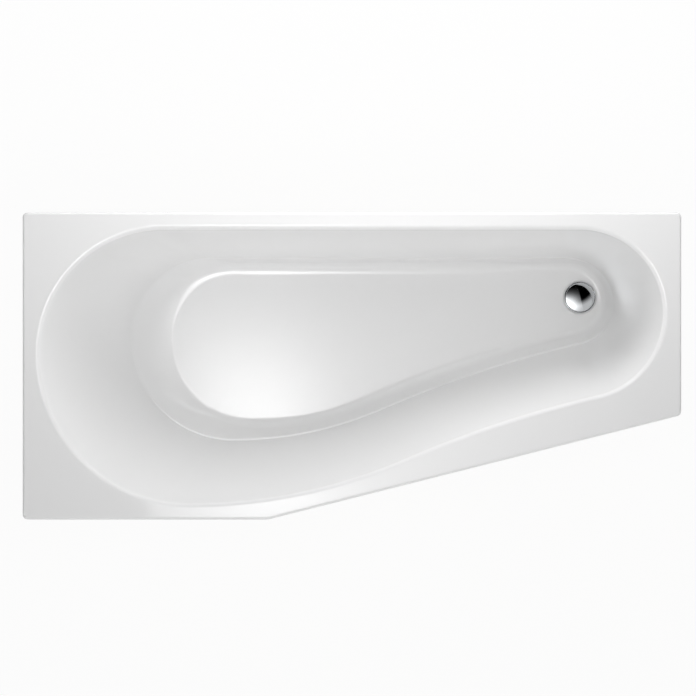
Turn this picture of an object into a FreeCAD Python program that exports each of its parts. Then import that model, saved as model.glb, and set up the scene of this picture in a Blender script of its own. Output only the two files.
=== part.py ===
import FreeCAD
import Part
import Sketcher

import math
import os
from types import SimpleNamespace

# All sizes of the bath, in millimetres, degrees or plain shares. The bath stands on the floor at z = 0,
# x runs from the head end to the waste end, y from the front to the wall side.
SIZES = {
    # rim, seen from above
    "rim_length": 1500.0,
    "rim_width": 700.0,
    "narrow_end_width": 462.0,
    "straight_front_length": 558.0,
    "rim_height": 570.0,
    "lip_depth": 35.0,
    "rim_corner_radius": 12.0,
    "rim_edge_radius": 6.0,
    "acrylic_thickness": 5.0,
    # the front of the basin turns in, and at the toe back, by these shares of its slant
    "opening_front_turn_share": 1.585,
    "opening_toe_turn_share": 0.877,
    "bend_front_turn_share": 1.514,
    "bend_toe_turn_share": 0.838,
    "floor_front_turn_share": 1.453,
    "floor_toe_turn_share": 0.804,
    # opening, measured in from the rim
    "head_margin": 37.0,
    "toe_margin": 40.0,
    "back_margin": 38.0,
    "front_margin": 35.0,
    "opening_head_shift": 29.5,
    "opening_toe_back_radius": 191.0,
    "opening_toe_front_radius": 195.0,
    "opening_edge_radius": 9.0,
    # bend where the walls turn in towards the floor, measured in from the opening
    "bend_head_inset": 191.0,
    "bend_toe_inset": 88.0,
    "bend_back_inset": 58.0,
    "bend_front_inset": 138.0,
    "bend_head_shift": 25.5,
    "bend_toe_back_radius": 108.0,
    "bend_toe_front_radius": 95.0,
    "bend_rise": 38.0,
    "bend_edge_radius": 30.0,
    # floor, measured in from the bend
    "floor_head_inset": 93.0,
    "floor_toe_inset": 22.0,
    "floor_back_inset": 15.0,
    "floor_front_inset": 34.0,
    "floor_head_shift": 16.0,
    "floor_toe_back_radius": 85.0,
    "floor_toe_front_radius": 78.0,
    "floor_edge_radius": 18.0,
    "basin_depth": 395.0,
    "floor_slope_angle": 0.35,
    # recess for the waste, measured in from the edge of the floor
    "waste_to_toe": 55.0,
    "waste_to_back": 77.0,
    "waste_hole_radius": 26.0,
    "waste_recess_radius": 40.0,
    "waste_recess_depth": 3.0,
    "overrun": 10.0,
    # glass fibre laid up under the shell, and the board under its floor
    "backing_thickness": 4.0,
    "laminate_gap": 0.3,
    "board_thickness": 14.0,
    "board_margin": 30.0,
    "board_to_waste": 75.0,
    # steel channels across the board
    "head_rail_inset": 69.0,
    "foot_rail_inset": 140.0,
    "rail_width": 40.0,
    "rail_height": 25.0,
    "rail_wall": 2.5,
    "rail_bend_radius": 1.5,
    "rail_to_wall": 40.0,
    "head_rail_to_front": 75.0,
    "foot_rail_to_front": 63.0,
    "rail_end_inset": 25.0,
    # levelling feet
    "rod_radius": 6.0,
    "rod_above_rail": 20.0,
    "rod_hole_clearance": 0.5,
    "rod_chamfer": 1.0,
    "thread_clearance": 0.05,
    "nut_across_flats": 19.0,
    "nut_height": 12.0,
    "nut_flange_radius": 13.0,
    "nut_flange_height": 3.0,
    "nut_gap": 0.1,
    "pad_radius": 30.0,
    "pad_edge_height": 7.0,
    "pad_height": 26.0,
    "pad_neck_radius": 12.0,
    "pad_floor_thickness": 8.0,
    "pad_edge_radius": 2.0,
    # chrome waste
    "flange_radius": 37.5,
    "flange_plate_thickness": 1.5,
    "flange_rim_height": 4.0,
    "flange_rim_wall": 1.8,
    "flange_rim_radius": 0.8,
    "flange_seal_thickness": 1.0,
    "flange_seal_inset": 1.0,
    "tail_radius": 23.9,
    "tail_wall": 3.4,
    "tail_length": 52.0,
    "seal_clearance": 0.3,
    "under_seal_radius": 35.0,
    "under_seal_thickness": 4.0,
    "back_nut_across_flats": 64.0,
    "back_nut_height": 10.0,
    # bridge in the tail that carries the click cartridge
    "bridge_depth": 34.0,
    "bridge_height": 6.0,
    "bridge_arm_width": 5.0,
    "bridge_hub_radius": 9.0,
    "cartridge_radius": 8.5,
    "cartridge_height": 26.0,
    "cartridge_bore_radius": 6.0,
    "cartridge_wall": 3.0,
    "cartridge_stud_radius": 4.9,
    "cartridge_stud_length": 9.0,
    "stud_clearance": 0.05,
    # plug, closed
    "plug_lift": 9.0,
    "plug_radius": 34.6,
    "plug_edge_height": 1.5,
    "plug_dome_height": 5.0,
    "plug_boss_radius": 6.0,
    "plug_boss_length": 6.0,
    "plug_seal_inner_radius": 23.0,
    "plug_seal_outer_radius": 29.0,
    "plug_seal_thickness": 2.0,
    "stem_radius": 3.0,
    "stem_grip": 8.0,
    "stem_clearance": 0.05,
    "piston_height": 4.0,
    "piston_end_gap": 0.5,
    # trap
    "trap_radius": 20.0,
    "trap_wall": 2.0,
    "trap_washer_thickness": 3.0,
    "trap_washer_bore": 17.0,
    "trap_collar_radius": 23.5,
    "trap_collar_height": 4.0,
    "trap_drop": 29.0,
    "trap_turn_radius": 34.0,
    "trap_riser": 4.0,
    "trap_elbow_radius": 30.0,
    "trap_outlet_length": 50.0,
    "union_radius": 30.0,
    "union_height": 26.0,
    "union_shoulder": 4.0,
    "union_shoulder_clearance": 0.5,
    "grip_rib_depth": 2.0,
    "grip_rib_width": 6.0,
    # cleaning cap under the trap
    "cap_neck_radius": 14.0,
    "cap_neck_bore": 10.0,
    "cap_neck_drop": 11.0,
    "cap_radius": 18.0,
    "cap_wall": 3.0,
    "cap_seal_thickness": 2.0,
    "cap_overlap": 10.0,
    "cap_rib_depth": 1.5,
    "cap_rib_width": 4.0,
}

# Counts and shares that go with the sizes.
union_rib_count = 8
cap_rib_count = 6
hexagon_shares = ((0.5, 0.288675), (0.0, 0.577350), (-0.5, 0.288675),
                  (-0.5, -0.288675), (0.0, -0.577350), (0.5, -0.288675))


class Size:
    """A length or angle that carries its number and the sheet expression it is bound with."""

    def __init__(self, value, text):
        self.value = value
        self.text = text

    @staticmethod
    def of(other):
        if isinstance(other, Size):
            return other
        return Size(float(other), repr(float(other)))

    def __add__(self, other):
        other = Size.of(other)
        return Size(self.value + other.value, f"({self.text} + {other.text})")

    def __sub__(self, other):
        other = Size.of(other)
        return Size(self.value - other.value, f"({self.text} - {other.text})")

    def __mul__(self, other):
        other = Size.of(other)
        return Size(self.value * other.value, f"({self.text} * {other.text})")

    def __truediv__(self, other):
        other = Size.of(other)
        return Size(self.value / other.value, f"({self.text} / {other.text})")

    def __neg__(self):
        return Size(-self.value, f"(-{self.text})")

    def tangent(self):
        return Size(math.tan(math.radians(self.value)), f"tan({self.text})")

    def arcsine(self):
        return Size(math.degrees(math.asin(self.value)), f"asin({self.text})")

    def slant(self, run):
        return Size(math.degrees(math.atan2(self.value, run.value)), f"atan2({self.text}; {run.text})")

    def hypotenuse(self, run):
        return Size(math.hypot(self.value, run.value), f"hypot({self.text}; {run.text})")


doc = FreeCAD.newDocument("bath")
sheet = doc.addObject("Spreadsheet::Sheet", "sizes")
for row, (alias, number) in enumerate(SIZES.items(), 1):
    sheet.set(f"A{row}", alias)
    sheet.set(f"B{row}", str(number))
    sheet.setAlias(f"B{row}", alias)
doc.recompute()
size = SimpleNamespace(**{alias: Size(number, f"sizes.{alias}") for alias, number in SIZES.items()})


def bind(target, path, value):
    target.setExpression(path, Size.of(value).text)


def new_body(label):
    body = doc.addObject("PartDesign::Body", label)
    body.Label = label
    return body


def new_sketch(body, name, plane, lift=None, tilt=None):
    sketch = body.newObject("Sketcher::SketchObject", name)
    support = next(item for item in body.Origin.OriginFeatures if item.Role == plane)
    sketch.AttachmentSupport = (support, [""])
    sketch.MapMode = "FlatFace"
    if tilt is not None:
        turn = FreeCAD.Rotation(FreeCAD.Vector(0, 1, 0), tilt.value)
        sketch.AttachmentOffset = FreeCAD.Placement(FreeCAD.Vector(), turn)
        bind(sketch, "AttachmentOffset.Rotation.Angle", tilt)
    if lift is not None:
        bind(sketch, "AttachmentOffset.Base.z", lift)
    return sketch


def constrain(sketch, kind, value, *places):
    number = math.radians(value.value) if kind == "Angle" else value.value
    index = sketch.addConstraint(Sketcher.Constraint(kind, *places, number))
    bind(sketch, f"Constraints[{index}]", value)


def outline(level):
    """Reaches, radii and turns of the basin outline at the opening, the bend or the floor. The head's end is
    shifted from mid-width to the back, and its radius is that of the front quarter. The turns are shares of
    the slant of a line from the front of the head that touches the toe."""
    reach = {
        "head": size.rim_length / 2 - size.head_margin,
        "toe": size.rim_length / 2 - size.toe_margin,
        "back": size.rim_width / 2 - size.back_margin,
        "front": size.rim_width / 2 - size.front_margin,
    }
    steps = {"opening": (), "bend": ("bend",), "floor": ("bend", "floor")}
    for step in steps[level]:
        reach = {side: value - getattr(size, f"{step}_{side}_inset") for side, value in reach.items()}
    width = reach["back"] + reach["front"]
    radius = {corner: getattr(size, f"{level}_{corner}_radius") for corner in ("toe_back", "toe_front")}
    radius["head"] = width / 2 + getattr(size, f"{level}_head_shift")
    rise = width - radius["toe_back"]
    run = reach["head"] + reach["toe"] - radius["head"] - radius["toe_front"]
    slant = rise.slant(run) - (radius["toe_front"] / rise.hypotenuse(run)).arcsine()
    turn = {part: slant * getattr(size, f"{level}_{part}_turn_share") for part in ("front", "toe")}
    return SimpleNamespace(reach=reach, radius=radius, turn=turn)


def grown(plan, offset):
    """The outline parallel to a plan, outwards by an offset."""
    reach = {side: value + offset for side, value in plan.reach.items()}
    radius = {corner: value + offset for corner, value in plan.radius.items()}
    return SimpleNamespace(reach=reach, radius=radius, turn=plan.turn)


def blended(upper, lower, part):
    """The outline part of the way down a straight wall."""
    reach = {side: value + (lower.reach[side] - value) * part for side, value in upper.reach.items()}
    radius = {corner: value + (lower.radius[corner] - value) * part for corner, value in upper.radius.items()}
    turn = {name: value + (lower.turn[name] - value) * part for name, value in upper.turn.items()}
    return SimpleNamespace(reach=reach, radius=radius, turn=turn)


def basin_sketch(body, name, plan, lift, tilt=None):
    """The basin outline: a straight back, two quarter arcs round the head, a swelling front arc that
    runs through a hollow waist arc into the toe, and a quarter arc back to the wall side."""
    sketch = new_sketch(body, name, "XY_Plane", lift, tilt)
    swell = math.radians(plan.turn["front"].value)
    toe = math.radians(plan.turn["toe"].value)
    left, right = -plan.reach["head"].value, plan.reach["toe"].value
    back, front = plan.reach["back"].value, -plan.reach["front"].value
    lower, toe_back, toe_front = [plan.radius[corner].value for corner in ("head", "toe_back", "toe_front")]
    head_y, toe_y = front + lower, back - toe_back
    head = back - head_y
    across = right - (left + lower) - toe_front * (1 - math.sin(toe))
    up = toe_y - front - toe_front * math.cos(toe)
    matrix = FreeCAD.Matrix(math.sin(swell), math.sin(swell) - math.sin(toe), 0, 0,
                            1 - math.cos(swell), math.cos(toe) - math.cos(swell), 0, 0)
    swell_radius, waist_radius, _ = matrix.inverse().multVec(FreeCAD.Vector(across, up, 0))
    turning = FreeCAD.Vector(left + lower + swell_radius * math.sin(swell),
                             front + swell_radius * (1 - math.cos(swell)), 0)
    waist_x = turning.x + waist_radius * math.sin(swell)
    waist_y = turning.y - waist_radius * math.cos(swell)
    arcs = (
        (left + head, head_y, head, 90, 180),
        (left + lower, head_y, lower, 180, 270),
        (left + lower, front + swell_radius, swell_radius, 270, 270 + plan.turn["front"].value),
        (waist_x, waist_y, waist_radius, 90 + plan.turn["toe"].value, 90 + plan.turn["front"].value),
        (right - toe_front, toe_y, toe_front, 270 + plan.turn["toe"].value, 360),
        (right - toe_back, toe_y, toe_back, 0, 90),
    )
    sketch.addGeometry(Part.LineSegment(FreeCAD.Vector(right - toe_back, back, 0),
                                        FreeCAD.Vector(left + head, back, 0)))
    for x, y, radius, start, stop in arcs:
        circle = Part.Circle(FreeCAD.Vector(x, y, 0), FreeCAD.Vector(0, 0, 1), radius)
        sketch.addGeometry(Part.ArcOfCircle(circle, math.radians(start), math.radians(stop)))
    joins = ((0, 2, 1, 1), (1, 2, 2, 1), (2, 2, 3, 1), (3, 2, 4, 2), (4, 1, 5, 1), (5, 2, 6, 1), (6, 2, 0, 1))
    for join in joins:
        sketch.addConstraint(Sketcher.Constraint("Tangent", *join))
    sketch.addConstraint(Sketcher.Constraint("Horizontal", 0))
    sketch.addConstraint(Sketcher.Constraint("Horizontal", 1, 3, 1, 2))
    sketch.addConstraint(Sketcher.Constraint("Vertical", 2, 3, 2, 2))
    sketch.addConstraint(Sketcher.Constraint("Horizontal", 5, 3, 5, 2))
    constrain(sketch, "DistanceX", plan.reach["head"], 1, 2, -1, 1)
    constrain(sketch, "DistanceX", plan.reach["toe"], -1, 1, 5, 2)
    constrain(sketch, "DistanceY", plan.reach["back"], -1, 1, 0, 1)
    constrain(sketch, "DistanceY", plan.reach["front"], 2, 2, -1, 1)
    constrain(sketch, "Radius", plan.radius["head"], 2)
    constrain(sketch, "Radius", plan.radius["toe_front"], 5)
    constrain(sketch, "Radius", plan.radius["toe_back"], 6)
    constrain(sketch, "Angle", plan.turn["front"], 3)
    constrain(sketch, "Angle", plan.turn["front"] - plan.turn["toe"], 4)
    return sketch


def pin(sketch, kind, value, geometry, place):
    """Fix one coordinate of a point, on whichever side of the origin it lies."""
    value = Size.of(value)
    if value.value > 0:
        constrain(sketch, kind, value, -1, 1, geometry, place)
    elif value.value < 0:
        constrain(sketch, kind, -value, geometry, place, -1, 1)
    else:
        axis = -2 if kind == "DistanceX" else -1
        sketch.addConstraint(Sketcher.Constraint("PointOnObject", geometry, place, axis))


def polygon(sketch, points):
    """A closed line through the points, every coordinate bound. A point marked as a dome starts an arc
    to the next point, centred on the vertical axis."""
    corners = [FreeCAD.Vector(Size.of(point[0]).value, Size.of(point[1]).value, 0) for point in points]
    first = sketch.GeometryCount
    ends = []
    for index, point in enumerate(points):
        start, stop = corners[index], corners[(index + 1) % len(corners)]
        if point[2:] == ("dome",):
            height = (start.x ** 2 + start.y ** 2 - stop.x ** 2 - stop.y ** 2) / (2 * (start.y - stop.y))
            radius = math.hypot(start.x, start.y - height)
            round_line = Part.Circle(FreeCAD.Vector(0, height, 0), FreeCAD.Vector(0, 0, 1), radius)
            angles = [math.atan2(corner.y - height, corner.x) for corner in (start, stop)]
            arc = sketch.addGeometry(Part.ArcOfCircle(round_line, *angles))
            sketch.addConstraint(Sketcher.Constraint("PointOnObject", arc, 3, -2))
        else:
            sketch.addGeometry(Part.LineSegment(start, stop))
    for index, point in enumerate(points):
        following = first + (index + 1) % len(points)
        sketch.addConstraint(Sketcher.Constraint("Coincident", first + index, 2, following, 1))
        pin(sketch, "DistanceX", point[0], first + index, 1)
        pin(sketch, "DistanceY", point[1], first + index, 1)


def circle(sketch, x, y, radius):
    """A bound circle."""
    centre = FreeCAD.Vector(Size.of(x).value, Size.of(y).value, 0)
    index = sketch.addGeometry(Part.Circle(centre, FreeCAD.Vector(0, 0, 1), radius.value))
    pin(sketch, "DistanceX", x, index, 3)
    pin(sketch, "DistanceY", y, index, 3)
    constrain(sketch, "Radius", radius, index)


def pad(body, name, sketch, length):
    feature = body.newObject("PartDesign::Pad", name)
    feature.Profile = sketch
    bind(feature, "Length", length)
    doc.recompute()
    return feature


def pocket(body, name, sketch, length, upwards=False):
    feature = body.newObject("PartDesign::Pocket", name)
    feature.Profile = sketch
    feature.Reversed = upwards
    bind(feature, "Length", length)
    doc.recompute()
    return feature


def loft(body, name, kind, sketches):
    feature = body.newObject(kind, name)
    feature.Profile = sketches[0]
    feature.Sections = [(sketch, [""]) for sketch in sketches[1:]]
    feature.Ruled = True
    doc.recompute()
    return feature


def edges_where(feature, test):
    """Names of the edges all of whose sampled points pass the test."""
    names = []
    for index, edge in enumerate(feature.Shape.Edges, 1):
        points = edge.discretize(5)
        if all(test(point) for point in points):
            names.append(f"Edge{index}")
    return names


def fillet(body, name, names, radius):
    base = body.Tip
    feature = body.newObject("PartDesign::Fillet", name)
    feature.Base = (base, names)
    bind(feature, "Radius", radius)
    doc.recompute()
    return feature


def upright_edges(feature):
    """Names of the edges that run straight up."""
    names = []
    for index, edge in enumerate(feature.Shape.Edges, 1):
        if edge.tangentAt(edge.FirstParameter).cross(FreeCAD.Vector(0, 0, 1)).Length < same:
            names.append(f"Edge{index}")
    return names


def at_height(height):
    return lambda point: abs(point.z - height.value) < same


def on_slope(height):
    """Test for points of a plane that falls towards the waste like the floor."""
    fall = size.floor_slope_angle.tangent().value
    return lambda point: abs(point.z + point.x * fall - height.value) < same


def on_opening(point):
    reach = {side: value.value + same for side, value in opening.reach.items()}
    inside = -reach["head"] < point.x < reach["toe"] and -reach["front"] < point.y < reach["back"]
    return inside and at_height(size.rim_height)(point)


def place(body, x, y, z):
    bind(body, "Placement.Base.x", x)
    bind(body, "Placement.Base.y", y)
    bind(body, "Placement.Base.z", z)


def turned(label, points):
    """A body turned about its upright axis from a profile of radii and heights."""
    body = new_body(label)
    sketch = new_sketch(body, f"{label}_profile", "XZ_Plane")
    polygon(sketch, points)
    feature = body.newObject("PartDesign::Revolution", f"{label}_turned")
    feature.Profile = sketch
    feature.ReferenceAxis = (sketch, ["V_Axis"])
    doc.recompute()
    return body


def ring(label, inner, outer, height):
    """A flat ring that stands on its own origin."""
    return turned(label, [(inner, 0), (outer, 0), (outer, height), (inner, height)])


def rib_pattern(body, name, sketch, length, count):
    """A padded rib repeated round the upright axis."""
    rib = pad(body, name, sketch, length)
    pattern = body.newObject("PartDesign::PolarPattern", f"{name}_pattern")
    pattern.Originals = [rib]
    upright = next(item for item in body.Origin.OriginFeatures if item.Role == "Z_Axis")
    pattern.Axis = (upright, [""])
    pattern.Angle = 360
    pattern.Occurrences = count
    body.Tip = pattern
    doc.recompute()
    return pattern


# Tolerance for finding edges by their place.
same = 0.001

# Levels, from the rim down.
half_length = size.rim_length / 2
half_width = size.rim_width / 2
waste_floor = size.rim_height - size.basin_depth
opening, bend, floor = outline("opening"), outline("bend"), outline("floor")
waste_x = floor.reach["toe"] - size.waste_to_toe
waste_y = floor.reach["back"] - size.waste_to_back
slope = size.floor_slope_angle
floor_level = waste_floor + waste_x * slope.tangent()
bend_level = floor_level + size.bend_rise
recess_floor = waste_floor - size.waste_recess_depth
shell_underside = recess_floor - size.acrylic_thickness
backing_underside = shell_underside - size.laminate_gap - size.backing_thickness
board_underside = backing_underside - size.board_thickness
rail_underside = board_underside - size.rail_height


def rim_points(inset):
    """Corners of the rim, moved in parallel to its edges."""
    slant_rise = size.rim_width - size.narrow_end_width
    slant_run = size.rim_length - size.straight_front_length
    slant = slant_rise.hypotenuse(slant_run)
    front_corner_x = size.straight_front_length - half_length - inset * (slant - slant_run) / slant_rise
    end_corner_y = half_width - size.narrow_end_width + inset * (slant - slant_rise) / slant_run
    return [
        (inset - half_length, half_width - inset),
        (inset - half_length, inset - half_width),
        (front_corner_x, inset - half_width),
        (half_length - inset, end_corner_y),
        (half_length - inset, half_width - inset),
    ]


# Acrylic shell: a tray for the rim and its lip, the basin let into it, and the recess for the waste.
shell = new_body("bath_shell")
rim_plan = new_sketch(shell, "rim_plan", "XY_Plane", size.rim_height - size.lip_depth)
polygon(rim_plan, rim_points(Size.of(0)))
rim_slab = pad(shell, "rim_slab", rim_plan, size.lip_depth)
rim_corners = fillet(shell, "rim_corners", upright_edges(rim_slab), size.rim_corner_radius)
rim_top_edges = edges_where(rim_corners, at_height(size.rim_height))
rim_rounded = fillet(shell, "rim_rounded", rim_top_edges, size.rim_edge_radius)
rim_hollow = shell.newObject("PartDesign::Thickness", "rim_hollow")
lip_level = (size.rim_height - size.lip_depth).value
open_faces = [f"Face{index}" for index, face in enumerate(rim_rounded.Shape.Faces, 1)
              if face.BoundBox.ZMax < lip_level + same]
rim_hollow.Base = (rim_rounded, open_faces)
rim_hollow.Reversed = True
bind(rim_hollow, "Value", size.acrylic_thickness)
doc.recompute()
outer_bend_level = bend_level - size.acrylic_thickness / 2
outer_floor_level = floor_level - size.acrylic_thickness
loft(shell, "basin_outside", "PartDesign::AdditiveLoft", [
    basin_sketch(shell, "outer_opening", grown(opening, size.acrylic_thickness), size.rim_height),
    basin_sketch(shell, "outer_bend", grown(bend, size.acrylic_thickness), outer_bend_level, slope),
    basin_sketch(shell, "outer_floor", grown(floor, size.acrylic_thickness), outer_floor_level, slope),
])
basin_inside = loft(shell, "basin_inside", "PartDesign::SubtractiveLoft", [
    basin_sketch(shell, "inner_opening", opening, size.rim_height),
    basin_sketch(shell, "inner_bend", bend, bend_level, slope),
    basin_sketch(shell, "inner_floor", floor, floor_level, slope),
])
fillet(shell, "opening_edge", edges_where(shell.Tip, on_opening), size.opening_edge_radius)
fillet(shell, "bend_edge", edges_where(shell.Tip, on_slope(bend_level)), size.bend_edge_radius)
fillet(shell, "floor_edge", edges_where(shell.Tip, on_slope(floor_level)), size.floor_edge_radius)
outer_bend_radius = size.bend_edge_radius + size.acrylic_thickness
outer_floor_radius = size.floor_edge_radius + size.acrylic_thickness
fillet(shell, "outer_bend_edge", edges_where(shell.Tip, on_slope(outer_bend_level)), outer_bend_radius)
fillet(shell, "outer_floor_edge", edges_where(shell.Tip, on_slope(outer_floor_level)), outer_floor_radius)
boss_radius = size.waste_recess_radius + size.acrylic_thickness
boss_plan = new_sketch(shell, "boss_plan", "XY_Plane", shell_underside)
circle(boss_plan, waste_x, waste_y, boss_radius)
pad(shell, "boss", boss_plan, size.acrylic_thickness)
recess_plan = new_sketch(shell, "recess_plan", "XY_Plane", recess_floor + size.waste_recess_depth + size.overrun)
circle(recess_plan, waste_x, waste_y, size.waste_recess_radius)
pocket(shell, "recess", recess_plan, size.waste_recess_depth + size.overrun)
hole_plan = new_sketch(shell, "hole_plan", "XY_Plane", recess_floor)
circle(hole_plan, waste_x, waste_y, size.waste_hole_radius)
pocket(shell, "waste_hole", hole_plan, size.acrylic_thickness + size.overrun)

# Glass fibre backing: a layer under the rim and round the basin, level underneath.
backing = new_body("fibreglass_backing")
backing_top = size.rim_height - size.acrylic_thickness - size.laminate_gap
inner_offset = size.acrylic_thickness + size.laminate_gap
outer_offset = inner_offset + size.backing_thickness
layer_plan = new_sketch(backing, "layer_plan", "XY_Plane", backing_top - size.backing_thickness)
polygon(layer_plan, rim_points(inner_offset))
layer = pad(backing, "layer", layer_plan, size.backing_thickness)
fillet(backing, "layer_corners", upright_edges(layer), size.rim_corner_radius - inner_offset)
wall_height = size.rim_height - bend_level
backing_opening = blended(opening, bend, inner_offset / wall_height)
backing_bend_level = bend_level - outer_offset / 2
loft(backing, "backing_outside", "PartDesign::AdditiveLoft", [
    basin_sketch(backing, "outside_top", grown(backing_opening, outer_offset), backing_top),
    basin_sketch(backing, "outside_bend", grown(bend, outer_offset), backing_bend_level, slope),
    basin_sketch(backing, "outside_floor", grown(floor, outer_offset), backing_underside),
])
cavity_bend_level = bend_level - inner_offset / 2
cavity_floor_level = floor_level - inner_offset
loft(backing, "backing_inside", "PartDesign::SubtractiveLoft", [
    basin_sketch(backing, "inside_top", grown(backing_opening, inner_offset), backing_top),
    basin_sketch(backing, "inside_bend", grown(bend, inner_offset), cavity_bend_level, slope),
    basin_sketch(backing, "inside_floor", grown(floor, inner_offset), cavity_floor_level, slope),
])
cavity_bend_radius = size.bend_edge_radius + inner_offset
cavity_floor_radius = size.floor_edge_radius + inner_offset
fillet(backing, "cavity_bend_edge", edges_where(backing.Tip, on_slope(cavity_bend_level)), cavity_bend_radius)
fillet(backing, "cavity_floor_edge", edges_where(backing.Tip, on_slope(cavity_floor_level)), cavity_floor_radius)
backing_bend_radius = size.bend_edge_radius + outer_offset
backing_floor_radius = size.floor_edge_radius + outer_offset
fillet(backing, "backing_bend_edge", edges_where(backing.Tip, on_slope(backing_bend_level)), backing_bend_radius)
fillet(backing, "backing_floor_edge", edges_where(backing.Tip, at_height(backing_underside)), backing_floor_radius)
seat_plan = new_sketch(backing, "seat_plan", "XY_Plane", waste_floor)
circle(seat_plan, waste_x, waste_y, boss_radius + size.laminate_gap)
pocket(backing, "boss_seat", seat_plan, waste_floor - shell_underside + size.laminate_gap)
passage_plan = new_sketch(backing, "passage_plan", "XY_Plane", waste_floor)
circle(passage_plan, waste_x, waste_y, size.waste_hole_radius)
pocket(backing, "waste_passage", passage_plan, waste_floor - backing_underside + size.overrun)

# Board under the floor, cut short of the waste.
board = new_body("base_board")
board_plan = basin_sketch(board, "board_plan", grown(floor, -size.board_margin), board_underside)
pad(board, "board", board_plan, size.board_thickness)
cut_plan = new_sketch(board, "cut_plan", "XY_Plane", backing_underside)
cut_x = waste_x - size.board_to_waste
polygon(cut_plan, [(cut_x, half_width), (cut_x, -half_width), (half_length, -half_width), (half_length, half_width)])
pocket(board, "waste_cut", cut_plan, size.board_thickness)

# Two steel channels, open downwards, with a rod hole near each end.
rail_back = half_width - size.rail_to_wall
head_rail_x = size.head_rail_inset + size.board_margin - floor.reach["head"]
foot_rail_x = cut_x - size.foot_rail_inset
straight_end = size.straight_front_length - half_length
slant_share = (size.rim_width - size.narrow_end_width) / (size.rim_length - size.straight_front_length)
slant_front = half_width - (foot_rail_x - straight_end) * slant_share
rails = {
    "head_rail": (head_rail_x, rail_back + half_width - size.head_rail_to_front),
    "foot_rail": (foot_rail_x, rail_back + slant_front - size.foot_rail_to_front),
}
foot_places = []
for label, (rail_x, rail_length) in rails.items():
    rail = new_body(label)
    section = new_sketch(rail, f"{label}_section", "XZ_Plane")
    half_rail = size.rail_width / 2
    inside = half_rail - size.rail_wall
    web = size.rail_height - size.rail_wall
    polygon(section, [(-half_rail, 0), (-inside, 0), (-inside, web), (inside, web), (inside, 0), (half_rail, 0),
                      (half_rail, size.rail_height), (-half_rail, size.rail_height)])
    channel = pad(rail, f"{label}_channel", section, rail_length)
    outer_edges = edges_where(channel, lambda point: at_height(size.rail_height)(point)
                              and abs(abs(point.x) - half_rail.value) < same)
    fillet(rail, f"{label}_bends", outer_edges, size.rail_bend_radius)
    rod_holes = new_sketch(rail, f"{label}_rod_holes", "XY_Plane", size.rail_height)
    for along in (size.rail_end_inset, rail_length - size.rail_end_inset):
        circle(rod_holes, 0, -along, size.rod_radius + size.rod_hole_clearance)
        foot_places.append((rail_x, rail_back - along))
    pocket(rail, f"{label}_rod_passages", rod_holes, size.rail_wall + size.overrun / 2)
    place(rail, rail_x, rail_back, rail_underside)

# Levelling feet: rod, pad and the pair of flanged nuts that clamps the rail.
rod_bottom = size.pad_floor_thickness
rod_length = board_underside + size.rod_above_rail - rod_bottom
web_underside = board_underside - size.rail_wall


def flanged_nut(label, upwards):
    """A hexagon nut on a round flange; the flange lies at the origin."""
    nut = new_body(label)
    bore = size.rod_radius + size.thread_clearance
    flange_plan = new_sketch(nut, f"{label}_flange_plan", "XY_Plane")
    circle(flange_plan, 0, 0, size.nut_flange_radius)
    circle(flange_plan, 0, 0, bore)
    flange_pad = pad(nut, f"{label}_flange", flange_plan, size.nut_flange_height)
    flange_pad.Reversed = not upwards
    hexagon_plan = new_sketch(nut, f"{label}_hexagon_plan", "XY_Plane")
    polygon(hexagon_plan, [(size.nut_across_flats * x, size.nut_across_flats * y) for x, y in hexagon_shares])
    circle(hexagon_plan, 0, 0, bore)
    hexagon_pad = pad(nut, f"{label}_hexagon", hexagon_plan, size.nut_height)
    hexagon_pad.Reversed = not upwards
    doc.recompute()
    return nut


for number, (foot_x, foot_y) in enumerate(foot_places, 1):
    rod = turned(f"threaded_rod_{number}", [
        (0, 0), (size.rod_radius - size.rod_chamfer, 0), (size.rod_radius, size.rod_chamfer),
        (size.rod_radius, rod_length - size.rod_chamfer), (size.rod_radius - size.rod_chamfer, rod_length),
        (0, rod_length)])
    place(rod, foot_x, foot_y, rod_bottom)
    socket_radius = size.rod_radius + size.thread_clearance
    foot_pad = turned(f"foot_pad_{number}", [
        (0, 0), (size.pad_radius, 0), (size.pad_radius, size.pad_edge_height),
        (size.pad_neck_radius, size.pad_height), (socket_radius, size.pad_height),
        (socket_radius, size.pad_floor_thickness), (0, size.pad_floor_thickness)])
    fillet(foot_pad, f"foot_pad_{number}_edge",
           edges_where(foot_pad.Tip, at_height(size.pad_edge_height)), size.pad_edge_radius)
    place(foot_pad, foot_x, foot_y, 0)
    upper_nut = flanged_nut(f"upper_nut_{number}", True)
    place(upper_nut, foot_x, foot_y, board_underside + size.nut_gap)
    lower_nut = flanged_nut(f"lower_nut_{number}", False)
    place(lower_nut, foot_x, foot_y, web_underside - size.nut_gap)
    nuts = doc.addObject("Part::Compound", f"levelling_nuts_{number}")
    nuts.Label = f"levelling_nuts_{number}"
    nuts.Links = [upper_nut, lower_nut]

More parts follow.
